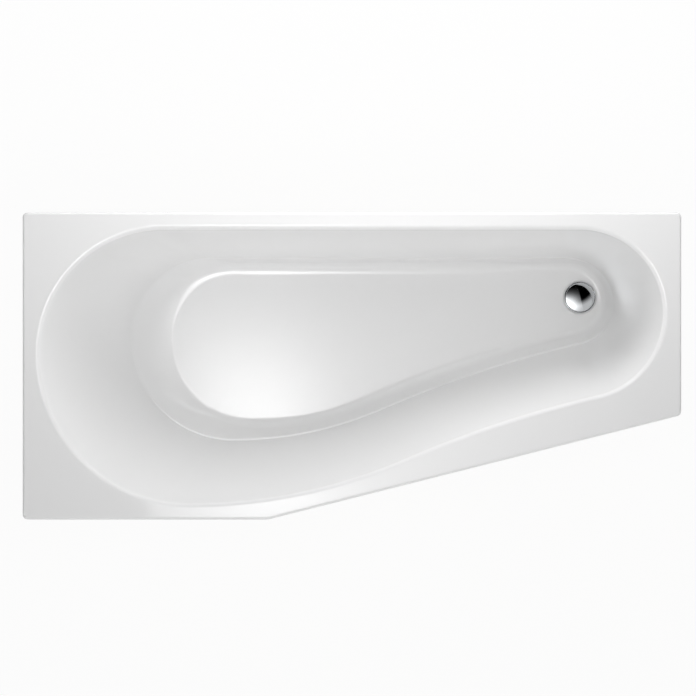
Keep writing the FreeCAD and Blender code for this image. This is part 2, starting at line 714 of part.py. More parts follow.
# Chrome waste, turned about the axis of its hole, with a bridge in the tail for the click cartridge.
tail_bore = size.tail_radius - size.tail_wall
plate_top = size.flange_seal_thickness + size.flange_plate_thickness
flange_top = size.flange_seal_thickness + size.flange_rim_height
flange_inside = size.flange_radius - size.flange_rim_wall
waste = turned("waste_flange", [
    (tail_bore, -size.tail_length), (size.tail_radius, -size.tail_length),
    (size.tail_radius, size.flange_seal_thickness), (size.flange_radius, size.flange_seal_thickness),
    (size.flange_radius, flange_top), (flange_inside, flange_top), (flange_inside, plate_top),
    (tail_bore, plate_top)])
fillet(waste, "flange_rim_edge", edges_where(waste.Tip, at_height(flange_top)), size.flange_rim_radius)
bridge_level = -size.bridge_depth - size.bridge_height
arm_reach = tail_bore + size.tail_wall / 2
arm_side = size.bridge_arm_width / 2
arms_plan = new_sketch(waste, "arms_plan", "XY_Plane", bridge_level)
polygon(arms_plan, [
    (arm_side, arm_side), (arm_side, arm_reach), (-arm_side, arm_reach), (-arm_side, arm_side),
    (-arm_reach, arm_side), (-arm_reach, -arm_side), (-arm_side, -arm_side), (-arm_side, -arm_reach),
    (arm_side, -arm_reach), (arm_side, -arm_side), (arm_reach, -arm_side), (arm_reach, arm_side)])
pad(waste, "bridge_arms", arms_plan, size.bridge_height)
hub_plan = new_sketch(waste, "hub_plan", "XY_Plane", bridge_level)
circle(hub_plan, 0, 0, size.bridge_hub_radius)
pad(waste, "bridge_hub", hub_plan, size.bridge_height)
stud_plan = new_sketch(waste, "stud_plan", "XY_Plane", bridge_level + size.bridge_height)
circle(stud_plan, 0, 0, size.cartridge_stud_radius + size.stud_clearance)
pocket(waste, "stud_hole", stud_plan, size.bridge_height)
place(waste, waste_x, waste_y, recess_floor)

flange_seal = ring("flange_seal", size.tail_radius + size.seal_clearance,
                   size.flange_radius - size.flange_seal_inset, size.flange_seal_thickness)
place(flange_seal, waste_x, waste_y, recess_floor)
under_seal = ring("under_seal", size.tail_radius + size.seal_clearance,
                  size.under_seal_radius, size.under_seal_thickness)
place(under_seal, waste_x, waste_y, backing_underside - size.under_seal_thickness)
back_nut = new_body("back_nut")
back_nut_plan = new_sketch(back_nut, "back_nut_plan", "XY_Plane")
polygon(back_nut_plan, [(size.back_nut_across_flats * x, size.back_nut_across_flats * y) for x, y in hexagon_shares])
circle(back_nut_plan, 0, 0, size.tail_radius + size.thread_clearance)
pad(back_nut, "back_nut_hexagon", back_nut_plan, size.back_nut_height)
place(back_nut, waste_x, waste_y, backing_underside - size.under_seal_thickness - size.back_nut_height)

# Click cartridge: a closed barrel on a stud, with a hole for the plunger's stem.
stem_hole = size.stem_radius + size.stem_clearance
barrel_ceiling = size.cartridge_height - size.cartridge_wall
cartridge = turned("click_cartridge", [
    (0, -size.cartridge_stud_length), (size.cartridge_stud_radius, -size.cartridge_stud_length),
    (size.cartridge_stud_radius, 0), (size.cartridge_radius, 0), (size.cartridge_radius, size.cartridge_height),
    (stem_hole, size.cartridge_height), (stem_hole, barrel_ceiling), (size.cartridge_bore_radius, barrel_ceiling),
    (size.cartridge_bore_radius, size.cartridge_wall), (0, size.cartridge_wall)])
place(cartridge, waste_x, waste_y, recess_floor - size.bridge_depth)

# Plug, closed: its seal lies on the flange's plate and its piston has the lift free above it.
plug_underside = plate_top + size.plug_seal_thickness
plug_shoulder = plug_underside + size.plug_edge_height
boss_bottom = plug_underside - size.plug_boss_length
stem_top = boss_bottom + size.stem_grip
plug_cap = turned("plug_cap", [
    (stem_hole, boss_bottom), (size.plug_boss_radius, boss_bottom), (size.plug_boss_radius, plug_underside),
    (size.plug_radius, plug_underside), (size.plug_radius, plug_shoulder, "dome"),
    (0, plug_shoulder + size.plug_dome_height), (0, stem_top + size.stem_clearance),
    (stem_hole, stem_top + size.stem_clearance)])
place(plug_cap, waste_x, waste_y, recess_floor)
plug_seal = ring("plug_seal", size.plug_seal_inner_radius, size.plug_seal_outer_radius, size.plug_seal_thickness)
place(plug_seal, waste_x, waste_y, recess_floor + plate_top)
piston_radius = size.cartridge_bore_radius - size.stem_clearance
piston_top = barrel_ceiling - size.bridge_depth - size.plug_lift - size.piston_end_gap
piston_bottom = piston_top - size.piston_height
plunger = turned("plug_plunger", [
    (0, piston_bottom), (piston_radius, piston_bottom), (piston_radius, piston_top),
    (size.stem_radius, piston_top), (size.stem_radius, stem_top), (0, stem_top)])
place(plunger, waste_x, waste_y, recess_floor)

# Trap: washer and union nut on the waste's tail, then one bent tube with a cleaning neck under its turn.
tail_end = recess_floor - size.tail_length
trap_top = tail_end - size.trap_washer_thickness
trap_washer = ring("trap_washer", size.trap_washer_bore, size.trap_collar_radius, size.trap_washer_thickness)
place(trap_washer, waste_x, waste_y, trap_top)
shoulder_bore = size.trap_radius + size.union_shoulder_clearance
thread_bore = size.tail_radius + size.thread_clearance
union_nut = turned("trap_union_nut", [
    (shoulder_bore, 0), (size.union_radius, 0), (size.union_radius, size.union_height),
    (thread_bore, size.union_height), (thread_bore, size.union_shoulder), (shoulder_bore, size.union_shoulder)])
union_rib_plan = new_sketch(union_nut, "union_rib_plan", "XY_Plane")
union_rib_reach = size.union_radius + size.grip_rib_depth
union_rib_root = size.union_radius - size.grip_rib_depth
union_rib_side = size.grip_rib_width / 2
polygon(union_rib_plan, [(union_rib_root, -union_rib_side), (union_rib_reach, -union_rib_side),
                         (union_rib_reach, union_rib_side), (union_rib_root, union_rib_side)])
rib_pattern(union_nut, "union_rib", union_rib_plan, size.union_height, union_rib_count)
place(union_nut, waste_x, waste_y, trap_top - size.trap_collar_height - size.union_shoulder)

trap = new_body("trap_body")
turn_level = size.trap_collar_height + size.trap_drop
turn_bottom = turn_level + size.trap_turn_radius
riser_x = size.trap_turn_radius * 2
elbow_level = turn_level - size.trap_riser
outlet_level = elbow_level - size.trap_elbow_radius
outlet_x = riser_x + size.trap_elbow_radius


def bent_path(body, name):
    """Centre line of the trap: down, round a half turn, up, and out sideways."""
    path = new_sketch(body, name, "XZ_Plane")
    corners = {
        "inlet": (0, 0),
        "turn_start": (0, -turn_level.value),
        "turn_end": (riser_x.value, -turn_level.value),
        "elbow_start": (riser_x.value, -elbow_level.value),
        "elbow_end": (outlet_x.value, -outlet_level.value),
        "outlet": (outlet_x.value + size.trap_outlet_length.value, -outlet_level.value),
    }
    points = {corner: FreeCAD.Vector(x, y, 0) for corner, (x, y) in corners.items()}
    upright = FreeCAD.Vector(0, 0, 1)
    turn_centre = FreeCAD.Vector(size.trap_turn_radius.value, -turn_level.value, 0)
    elbow_centre = FreeCAD.Vector(outlet_x.value, -elbow_level.value, 0)
    turn = Part.Circle(turn_centre, upright, size.trap_turn_radius.value)
    elbow = Part.Circle(elbow_centre, upright, size.trap_elbow_radius.value)
    path.addGeometry(Part.LineSegment(points["inlet"], points["turn_start"]))
    path.addGeometry(Part.ArcOfCircle(turn, math.pi, 2 * math.pi))
    path.addGeometry(Part.LineSegment(points["turn_end"], points["elbow_start"]))
    path.addGeometry(Part.ArcOfCircle(elbow, math.pi / 2, math.pi))
    path.addGeometry(Part.LineSegment(points["elbow_end"], points["outlet"]))
    path.addConstraint(Sketcher.Constraint("Coincident", 0, 1, -1, 1))
    for join in ((0, 2, 1, 1), (1, 2, 2, 1), (2, 2, 3, 2), (3, 1, 4, 1)):
        path.addConstraint(Sketcher.Constraint("Tangent", *join))
    path.addConstraint(Sketcher.Constraint("Vertical", 0))
    path.addConstraint(Sketcher.Constraint("Vertical", 2))
    path.addConstraint(Sketcher.Constraint("Horizontal", 4))
    constrain(path, "Distance", turn_level, 0)
    constrain(path, "Radius", size.trap_turn_radius, 1)
    constrain(path, "Distance", size.trap_riser, 2)
    constrain(path, "Radius", size.trap_elbow_radius, 3)
    constrain(path, "Distance", size.trap_outlet_length, 4)
    return path


def swept(body, name, kind, path, radius):
    section = new_sketch(body, f"{name}_section", "XY_Plane")
    circle(section, 0, 0, radius)
    doc.recompute()
    feature = body.newObject(kind, name)
    feature.Profile = section
    feature.Spine = (path, [f"Edge{index}" for index in range(1, path.GeometryCount + 1)])
    doc.recompute()
    return feature


trap_path = bent_path(trap, "trap_path")
swept(trap, "trap_outside", "PartDesign::AdditivePipe", trap_path, size.trap_radius)
collar_plan = new_sketch(trap, "collar_plan", "XY_Plane", -size.trap_collar_height)
circle(collar_plan, 0, 0, size.trap_collar_radius)
pad(trap, "trap_collar", collar_plan, size.trap_collar_height)
neck_length = size.trap_radius + size.cap_neck_drop
neck_plan = new_sketch(trap, "neck_plan", "XY_Plane", -turn_bottom - neck_length)
circle(neck_plan, size.trap_turn_radius, 0, size.cap_neck_radius)
pad(trap, "cleaning_neck", neck_plan, neck_length)
swept(trap, "trap_inside", "PartDesign::SubtractivePipe", trap_path, size.trap_radius - size.trap_wall)
neck_bore_plan = new_sketch(trap, "neck_bore_plan", "XY_Plane", -turn_bottom)
circle(neck_bore_plan, size.trap_turn_radius, 0, size.cap_neck_bore)
pocket(trap, "neck_bore", neck_bore_plan, neck_length + size.overrun)
place(trap, waste_x, waste_y, trap_top)

neck_x = waste_x + size.trap_turn_radius
neck_bottom = trap_top - turn_bottom - neck_length
cap_seal = ring("cleaning_cap_seal", size.cap_neck_bore, size.cap_neck_radius, size.cap_seal_thickness)
place(cap_seal, neck_x, waste_y, neck_bottom - size.cap_seal_thickness)
cap_height = size.cap_wall + size.cap_seal_thickness + size.cap_overlap
cap_bore = size.cap_neck_radius + size.thread_clearance
cleaning_cap = turned("cleaning_cap", [
    (0, 0), (size.cap_radius, 0), (size.cap_radius, cap_height), (cap_bore, cap_height),
    (cap_bore, size.cap_wall), (0, size.cap_wall)])
cap_rib_plan = new_sketch(cleaning_cap, "cap_rib_plan", "XY_Plane")
cap_rib_reach = size.cap_radius + size.cap_rib_depth
cap_rib_root = size.cap_radius - size.cap_rib_depth
cap_rib_side = size.cap_rib_width / 2
polygon(cap_rib_plan, [(cap_rib_root, -cap_rib_side), (cap_rib_reach, -cap_rib_side),
                       (cap_rib_reach, cap_rib_side), (cap_rib_root, cap_rib_side)])
rib_pattern(cleaning_cap, "cap_rib", cap_rib_plan, cap_height, cap_rib_count)
place(cleaning_cap, neck_x, waste_y, neck_bottom - size.cap_seal_thickness - size.cap_wall)

# Check the document, then write one file per piece.
doc.recompute()
for item in doc.Objects:
    if "Invalid" in item.State or "Error" in item.State:
        raise RuntimeError(f"{item.Label} failed: {item.State}")
nut_halves = [half for item in doc.Objects if item.TypeId == "Part::Compound" for half in item.Links]
pieces = [item for item in doc.Objects
          if item.TypeId in ("PartDesign::Body", "Part::Compound") and item not in nut_halves]
for piece in pieces:
    if piece.Shape.isNull() or not piece.Shape.isValid():
        raise RuntimeError(f"{piece.Label} has no valid shape")
os.makedirs("parts", exist_ok=True)
for piece in pieces:
    piece.Shape.exportStep(f"parts/{piece.Label}.step")
    print(piece.Label, len(piece.Shape.Solids), "solids", round(piece.Shape.Volume / 1000, 1), "cm3")
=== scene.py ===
import math

import bmesh
import bpy
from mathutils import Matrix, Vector, noise
from mathutils.geometry import delaunay_2d_cdt


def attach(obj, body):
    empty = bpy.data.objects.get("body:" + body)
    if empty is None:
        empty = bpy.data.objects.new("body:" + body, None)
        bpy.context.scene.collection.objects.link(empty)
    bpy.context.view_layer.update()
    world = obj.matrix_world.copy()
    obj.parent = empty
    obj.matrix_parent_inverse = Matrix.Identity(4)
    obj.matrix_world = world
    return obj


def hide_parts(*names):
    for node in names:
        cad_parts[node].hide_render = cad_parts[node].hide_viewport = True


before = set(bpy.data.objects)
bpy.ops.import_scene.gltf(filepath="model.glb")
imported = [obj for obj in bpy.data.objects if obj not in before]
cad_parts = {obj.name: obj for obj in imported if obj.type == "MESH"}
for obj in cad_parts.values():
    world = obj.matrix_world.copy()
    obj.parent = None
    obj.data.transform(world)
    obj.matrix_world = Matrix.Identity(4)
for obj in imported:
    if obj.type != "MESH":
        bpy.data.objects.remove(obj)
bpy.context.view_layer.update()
print("frame loaded:", len(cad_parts), "solids")

millimetre = 0.001
hair = 1e-6   # metres; what is closer than this is in the same place


def newPiece(name, mesh, body, material, nodes=()):
    # a finished piece, the body that carries it, its finish and the solids that it stands in for
    piece = bpy.data.objects.new(name, mesh)
    bpy.context.scene.collection.objects.link(piece)
    mesh.name = name
    mesh.materials.clear()
    mesh.materials.append(material)
    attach(piece, body)
    if nodes:
        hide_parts(*nodes)
    return piece


def linear(hexColour):
    # sRGB hex to linear light
    channels = [int(hexColour[i:i + 2], 16) / 255 for i in (1, 3, 5)]
    return [c / 12.92 if c <= 0.04045 else ((c + 0.055) / 1.055) ** 2.4 for c in channels] + [1.0]


def setInputs(tree, node, inputs):
    # a socket is linked, anything else is a plain value
    for key, value in inputs.items():
        if isinstance(value, bpy.types.NodeSocket):
            tree.links.new(value, node.inputs[key])
        else:
            node.inputs[key].default_value = value


def addNode(tree, kind, settings=None, inputs=None):
    node = tree.nodes.new(kind)
    for key, value in (settings or {}).items():
        setattr(node, key, value)
    setInputs(tree, node, inputs or {})
    return node


def newMaterial(name):
    # a material, its node tree, its shader and the piece's own coordinates
    material = bpy.data.materials.new(name)
    material.use_nodes = True
    tree = material.node_tree
    place = addNode(tree, "ShaderNodeTexCoord").outputs["Object"]
    return material, tree, tree.nodes["Principled BSDF"], place


def perMetre(sizeMm):
    # scale of a pattern that repeats at a size in millimetres
    return 1 / (sizeMm * millimetre)


def ramp(value, start, width):
    # 0 up to the start, then even to 1 over the width
    return max(min((value - start) / width, 1), 0)


def acrylicMaterial():
    # cast acrylic sheet, vacuum formed: white all through, a clear gloss skin with a faint long wave, and less of
    # a mirror on the walls, where the sheet was drawn thin
    look = {"colour": "#F5F5F5", "shade": "#F2F2F2", "roughness": (0.07, 0.27), "ior": 1.49,
            "cloudMm": 560.0, "waveMm": 140.0, "waveDepthMm": 0.02, "peelMm": 9.0, "peelDepthMm": 0.0006}
    material, tree, shader, place = newMaterial("white cast acrylic, polished")
    cloud, wave, peel = [addNode(tree, "ShaderNodeTexNoise", {}, {
        "Vector": place, "Scale": perMetre(look[size]), "Detail": detail}).outputs["Fac"]
        for size, detail in (("cloudMm", 2.0), ("waveMm", 1.0), ("peelMm", 2.0))]
    tint = addNode(tree, "ShaderNodeMix", {"data_type": "RGBA"}, {
        "Factor": cloud, "A": linear(look["colour"]), "B": linear(look["shade"])})
    peelBump = addNode(tree, "ShaderNodeBump", {}, {
        "Height": peel, "Distance": look["peelDepthMm"] * millimetre, "Strength": 1.0})
    waveBump = addNode(tree, "ShaderNodeBump", {}, {
        "Height": wave, "Distance": look["waveDepthMm"] * millimetre, "Strength": 1.0,
        "Normal": peelBump.outputs["Normal"]})
    drawn = addNode(tree, "ShaderNodeAttribute", {"attribute_name": "drawn"})
    gloss = addNode(tree, "ShaderNodeMapRange", {}, {
        "Value": drawn.outputs["Fac"], "To Min": look["roughness"][0], "To Max": look["roughness"][1]})
    setInputs(tree, shader, {"Base Color": tint.outputs["Result"], "Normal": waveBump.outputs["Normal"],
                             "Roughness": gloss.outputs["Result"], "IOR": look["ior"]})
    return material


def chromeMaterial():
    # bright nickel and chrome plate on brass: a mirror, with a trace of polishing haze
    look = {"colour": "#C4C6C8", "roughness": (0.03, 0.07), "hazeMm": 6.0}
    material, tree, shader, place = newMaterial("chrome plate, polished")
    haze = addNode(tree, "ShaderNodeTexNoise", {}, {
        "Vector": place, "Scale": perMetre(look["hazeMm"]), "Detail": 4.0})
    level = addNode(tree, "ShaderNodeMapRange", {}, {
        "Value": haze.outputs["Fac"], "To Min": look["roughness"][0], "To Max": look["roughness"][1]})
    setInputs(tree, shader, {
        "Base Color": linear(look["colour"]), "Metallic": 1.0, "Roughness": level.outputs["Result"]})
    return material


# the basin: a straight back, two arcs round the head, a swelling front, a hollow waist and the toe;
# headTurn is how far a wall faces the head before it bows, as a start and a width
basin = {
    "rimHeight": 0.570, "thickness": 0.005,
    "opening": {"head": 0.713, "toe": 0.710, "back": 0.312, "front": 0.315,
                "corners": (0.284, 0.191, 0.195), "turnShares": (1.585, 0.877)},
    "bend": {"head": 0.522, "toe": 0.622, "back": 0.254, "front": 0.177,
             "corners": (0.190, 0.108, 0.095), "turnShares": (1.514, 0.838)},
    "floor": {"head": 0.429, "toe": 0.600, "back": 0.239, "front": 0.143,
              "corners": (0.175, 0.085, 0.078), "turnShares": (1.453, 0.804)},
    "bendRise": 0.038, "bandSag": 0.012, "wallBow": 0.012, "headTurn": (0.2, 0.4),
    "floorDepth": 0.395, "slopeDegrees": 0.35, "edgeRadius": 0.012, "bendRadius": 0.030, "floorRadius": 0.018,
    "pointsPerArc": 48, "pointsOnBack": 60, "roundSteps": 12, "wallSteps": 24, "bandSteps": 8,
    "flatMm": 0.3,   # a short flat beside a rounded edge keeps the shading past it even
}
waste = {"x": 0.545, "y": 0.162, "recessRadius": 0.040, "recessDepth": 0.003, "holeRadius": 0.026}
slopeFall = math.tan(math.radians(basin["slopeDegrees"]))
floorLevel = basin["rimHeight"] - basin["floorDepth"] + waste["x"] * slopeFall


def basinOutline(level, grow=0.0):
    # points of one outline and their outward directions, anticlockwise from the toe end of the back
    left, right = -level["head"] - grow, level["toe"] + grow
    back, front = level["back"] + grow, -level["front"] - grow
    head, toeBack, toeFront = [radius + grow for radius in level["corners"]]
    headBack, toeBackBare, toeFrontBare = level["corners"]
    rise = level["back"] + level["front"] - toeBackBare
    run = level["head"] + level["toe"] - toeFrontBare - level["back"] - level["front"] + headBack
    slant = math.atan2(rise, run) - math.asin(toeFrontBare / math.hypot(rise, run))
    turn, toe = [slant * share for share in level["turnShares"]]
    headY, toeY = back - head, back - toeBack
    lower = headY - front
    across = right - (left + lower) - toeFront * (1 - math.sin(toe))
    up = toeY - front - toeFront * math.cos(toe)
    a, b = math.sin(turn), math.sin(turn) - math.sin(toe)
    c, d = 1 - math.cos(turn), math.cos(toe) - math.cos(turn)
    swell = (across * d - up * b) / (a * d - b * c)
    waist = (a * up - c * across) / (a * d - b * c)
    waistX = left + lower + (swell + waist) * math.sin(turn)
    waistY = front + swell - (swell + waist) * math.cos(turn)
    quarter = math.pi / 2
    arcs = (
        (left + head, headY, head, quarter, 2 * quarter, 1),
        (left + lower, headY, lower, 2 * quarter, 3 * quarter, 1),
        (left + lower, front + swell, swell, 3 * quarter, 3 * quarter + turn, 1),
        (waistX, waistY, waist, quarter + turn, quarter + toe, -1),
        (right - toeFront, toeY, toeFront, 3 * quarter + toe, 4 * quarter, 1),
        (right - toeBack, toeY, toeBack, 0, quarter, 1),
    )
    points, outwards = [], []
    for i in range(basin["pointsOnBack"]):
        share = i / basin["pointsOnBack"]
        points.append(Vector((right - toeBack + share * (left + head - right + toeBack), back)))
        outwards.append(Vector((0, 1)))
    for x, y, radius, start, stop, side in arcs:
        for i in range(basin["pointsPerArc"]):
            angle = start + (stop - start) * i / basin["pointsPerArc"]
            ray = Vector((math.cos(angle), math.sin(angle)))
            points.append(Vector((x, y)) + ray * radius)
            outwards.append(ray * side)
    return points, outwards


def roundedCorner(before, corner, after, radius, steps):
    # an arc that replaces the corner between two straight runs
    toBefore, toAfter = (before - corner).normalized(), (after - corner).normalized()
    half = toBefore.angle(toAfter) / 2
    reach = radius / math.tan(half)
    centre = corner + (toBefore + toAfter).normalized() * (radius / math.sin(half))
    start, stop = corner + toBefore * reach - centre, corner + toAfter * reach - centre
    return [centre + start.slerp(stop, i / steps) * radius for i in range(steps + 1)]


def between(start, middle, stop, steps):
    # a run that bows towards its middle point, without its ends
    shares = [i / steps for i in range(1, steps)]
    return [start.lerp(middle, share).lerp(middle.lerp(stop, share), share) for share in shares]


def basinRings(skin):
    # rings of points from the top of a skin down to the flat of its floor, parallel to the inside of the basin;
    # p0, p1 and p2 are a wall's top, its bend and the floor's edge
    grow = skin["grow"]
    levels = [basinOutline(basin[name], grow) for name in ("opening", "bend", "floor")]
    fall = 0 if "level" in skin else slopeFall
    chains = []
    for i, outward in enumerate(levels[0][1]):
        top, bend, low = [level[0][i] for level in levels]
        p0 = Vector((top.x, top.y, basin["rimHeight"]))
        p1 = Vector((bend.x, bend.y, floorLevel + basin["bendRise"] - bend.x * slopeFall - grow / 2))
        p2 = Vector((low.x, low.y, skin.get("level", floorLevel - low.x * slopeFall - grow)))
        away = Vector((outward.x, outward.y, 0))
        inward = Vector((-outward.x, -outward.y, outward.x * fall))
        p0 = p0.lerp(p1, (basin["rimHeight"] - skin["top"]) / (basin["rimHeight"] - p1.z))
        # the backrest is hollow, and the band below it is steepest at its upper edge
        head = ramp(-outward.x, *basin["headTurn"])
        wallMiddle = p0.lerp(p1, 0.5) + away * basin["wallBow"] * head
        bandMiddle = p1.lerp(p2, 0.5) - Vector((0, 0, basin["bandSag"] * head))
        chain = []
        if "edgeRadius" in skin:
            edge = roundedCorner(p0 + away, p0, wallMiddle, skin["edgeRadius"], basin["roundSteps"])
            chain.append(edge[0] + away * millimetre)
            chain += edge
        else:
            chain.append(p0)
        bendArc = roundedCorner(wallMiddle, p1, bandMiddle, basin["bendRadius"] + grow, basin["roundSteps"])
        if "ledge" in skin:
            # a narrow shoulder along the bend, full in front, faint at the back, gone round the head and toe
            ledge = skin["ledge"]
            share = ramp(-outward.y, *ledge["frontTurn"]) + ledge["back"] * ramp(outward.y, *ledge["backTurn"])
            high, under = p1 + away * ledge["half"], p1 - away * ledge["half"]
            step = roundedCorner(wallMiddle, high, under, ledge["radius"], ledge["steps"])
            step += roundedCorner(high, under, bandMiddle, ledge["radius"], basin["roundSteps"] - ledge["steps"] - 1)
            bendArc = [a.lerp(b, share) for a, b in zip(bendArc, step)]
        floorRadius = basin["floorRadius"] + grow
        if "soft" in skin:
            # the floor's edge is softer away from the waste
            soft = skin["soft"]
            floorRadius += max(soft["head"] * ramp(-low.x, *soft["headFrom"]),
                               soft["toe"] * ramp(low.x, *soft["toeFrom"]))
        floorArc = roundedCorner(bandMiddle, p2, p2 + inward, floorRadius, basin["roundSteps"])
        chain += between(chain[-1], wallMiddle, bendArc[0], basin["wallSteps"]) + bendArc
        chain += between(bendArc[-1], bandMiddle, floorArc[0], basin["bandSteps"]) + floorArc
        chain.append(floorArc[-1] + inward * basin["flatMm"] * millimetre)
        chains.append(chain)
    return [[chain[k] for chain in chains] for k in range(len(chains[0]))]


def rimLoop(inset, height):
    # the rim's rounded outline, anticlockwise
    rim = {"length": 1.500, "width": 0.700, "narrowEnd": 0.462, "straightFront": 0.558, "corner": 0.012, "steps": 10}
    x, y = rim["length"] / 2, rim["width"] / 2
    corners = [Vector(c) for c in (
        (-x, y), (-x, -y), (rim["straightFront"] - x, -y), (x, y - rim["narrowEnd"]), (x, y))]
    loop = []
    for i, corner in enumerate(corners):
        arrive = (corner - corners[i - 1]).normalized()
        leave = (corners[(i + 1) % len(corners)] - corner).normalized()
        turn = arrive.angle(leave)
        reach = rim["corner"] * math.tan(turn / 2)
        start = corner - arrive * reach
        centre = start + Vector((-arrive.y, arrive.x)) * rim["corner"]
        for k in range(rim["steps"] + 1):
            angle = math.atan2(-arrive.x, arrive.y) + turn * k / rim["steps"]
            point = centre + Vector((math.cos(angle), math.sin(angle))) * (rim["corner"] - inset)
            loop.append(Vector((point.x, point.y, height)))
    return loop


def circleLoop(radius, height, slope=0.0, count=96, at=(waste["x"], waste["y"])):
    loop = []
    for i in range(count):
        angle = 2 * math.pi * i / count
        x, y = at[0] + radius * math.cos(angle), at[1] + radius * math.sin(angle)
        loop.append(Vector((x, y, height - (x - at[0]) * slope)))
    return loop


def addStrip(bm, outer, inner):
    # quads between two closed loops of equal count; with anticlockwise loops the faces look up and in
    count = len(outer)
    for i in range(count):
        k = (i + 1) % count
        bm.faces.new((outer[i], outer[k], inner[k], inner[i]))


def addSkin(bm, rings, flip=False):
    # closed rings of points joined by strips, one after another; flip turns the faces round
    loops = [[bm.verts.new(point) for point in ring] for ring in rings]
    for a, b in zip(loops, loops[1:]):
        addStrip(bm, *((b, a) if flip else (a, b)))
    return loops


def holds(loop, point):
    # whether a closed loop goes round the point
    inside = False
    for a, b in zip(loop, loop[1:] + loop[:1]):
        if (a.y > point.y) != (b.y > point.y) and point.x < a.x + (point.y - a.y) / (b.y - a.y) * (b.x - a.x):
            inside = not inside
    return inside


def addRing(bm, outer, inner, up=True):
    # flat triangles between two closed loops
    verts = outer + inner
    flat = [Vector((v.co.x, v.co.y)) for v in verts]
    edges = [(i, (i + 1) % len(outer)) for i in range(len(outer))]
    edges += [(len(outer) + i, len(outer) + (i + 1) % len(inner)) for i in range(len(inner))]
    insideOnly, nearest = 1, 1e-7   # which triangles are kept, and points closer than this are one
    faces, given = delaunay_2d_cdt(flat, edges, [], insideOnly, nearest)[2:4]
    for face in faces:
        ids = [given[i][0] for i in face]
        if not holds(flat[len(outer):], sum((flat[i] for i in ids), Vector((0, 0))) / 3):
            bm.faces.new([verts[i] for i in (ids if up else ids[::-1])])


def finishMesh(bm, sharpDegrees=32):
    # smooth shading, apart from edges sharper than the angle
    bm.normal_update()
    limit = math.radians(sharpDegrees)
    for edge in bm.edges:
        edge.smooth = not (len(edge.link_faces) == 2 and edge.calc_face_angle() > limit)
    for face in bm.faces:
        face.smooth = True
    mesh = bpy.data.meshes.new("piece")
    bm.to_mesh(mesh)
    bm.free()
    return mesh


def buildShell(material):
    # the acrylic sheet; turns and places along the bath are a start and a width, drawn goes by how far a wall leans
    shell = {"lipDepth": 0.035, "edgeRadius": 0.006, "edgeSteps": 8, "bossRadius": 0.0422, "underside": 0.167,
             "recessRounding": 0.0004, "recessSteps": 4, "seamMm": 0.2, "cornerMm": 0.3, "holeEdgeMm": 0.5,
             "ledge": {"half": 0.0020, "radius": 0.0020, "steps": 5, "frontTurn": (0.55, 0.25),
                       "back": 0.5, "backTurn": (0.8, 0.2)},
             "soft": {"head": 0.012, "headFrom": (-0.45, 0.15), "toe": 0.003, "toeFrom": (0.50, 0.05)},
             "drawn": (-0.75, 0.3), "facingUp": 0.02, "belowRim": 0.012}
    top, thickness = basin["rimHeight"], basin["thickness"]
    bm = bmesh.new()

    # lip and rounded outer edge, from the lip's foot up to the flat of the rim
    rings = [rimLoop(0, top - shell["lipDepth"]), rimLoop(0, top - shell["lipDepth"] + millimetre)]
    for i in range(shell["edgeSteps"] + 1):
        angle = math.pi / 2 * i / shell["edgeSteps"]
        inset = shell["edgeRadius"] * (1 - math.cos(angle))
        rings.append(rimLoop(inset, top - shell["edgeRadius"] * (1 - math.sin(angle))))
    outside = addSkin(bm, rings + [rimLoop(shell["edgeRadius"] + millimetre, top)])

    # inside of the basin, the recess for the waste and its hole
    inside = addSkin(bm, basinRings({
        "grow": 0.0, "top": top, "edgeRadius": basin["edgeRadius"], "soft": shell["soft"], "ledge": shell["ledge"]}))
    addRing(bm, outside[-1], inside[0])
    level = top - basin["floorDepth"]
    bottom = level - waste["recessDepth"]
    rounding, steps, corner = shell["recessRounding"], shell["recessSteps"], shell["cornerMm"] * millimetre
    rings = [circleLoop(waste["recessRadius"] + rounding + shell["seamMm"] * millimetre, level, slopeFall)]
    for i in range(steps + 1):
        angle = math.pi / 2 * i / steps
        rings.append(circleLoop(waste["recessRadius"] + rounding * (1 - math.sin(angle)),
                                level - rounding * (1 - math.cos(angle)), slopeFall * (1 - i / steps)))
    for radius, height in (
            (waste["recessRadius"], bottom + corner), (waste["recessRadius"] - corner, bottom),
            (waste["holeRadius"] + shell["holeEdgeMm"] * millimetre, bottom), (waste["holeRadius"], bottom),
            (waste["holeRadius"], shell["underside"])):
        rings.append(circleLoop(radius, height))
    recess = addSkin(bm, rings)
    addRing(bm, inside[-1], recess[0])

    # back of the sheet: under the rim, round the basin and the boss under the recess
    lip = addSkin(bm, [rimLoop(thickness, top - shell["lipDepth"]), rimLoop(thickness, top - thickness)], flip=True)
    addStrip(bm, lip[0], outside[0])
    behind = addSkin(bm, basinRings({"grow": thickness, "top": top - thickness}), flip=True)
    addRing(bm, lip[1], behind[0], up=False)
    boss = addSkin(bm, [circleLoop(shell["bossRadius"], level - thickness, slopeFall),
                        circleLoop(shell["bossRadius"], shell["underside"])], flip=True)
    addRing(bm, behind[-1], boss[0], up=False)
    addStrip(bm, recess[-1], boss[1])
    mesh = finishMesh(bm)
    drawn = mesh.attributes.new("drawn", "FLOAT", "POINT")
    for vert, value in zip(mesh.vertices, drawn.data):
        inBasin = vert.normal.z > shell["facingUp"] and vert.co.z < top - shell["belowRim"]
        value.value = ramp(-vert.normal.z, *shell["drawn"]) if inBasin else 0.0
    return newPiece("acrylicShell", mesh, "bath", material, ["bath_shell"])


acrylic = acrylicMaterial()
acrylicShell = buildShell(acrylic)
print("shell:", len(acrylicShell.data.polygons), "faces")


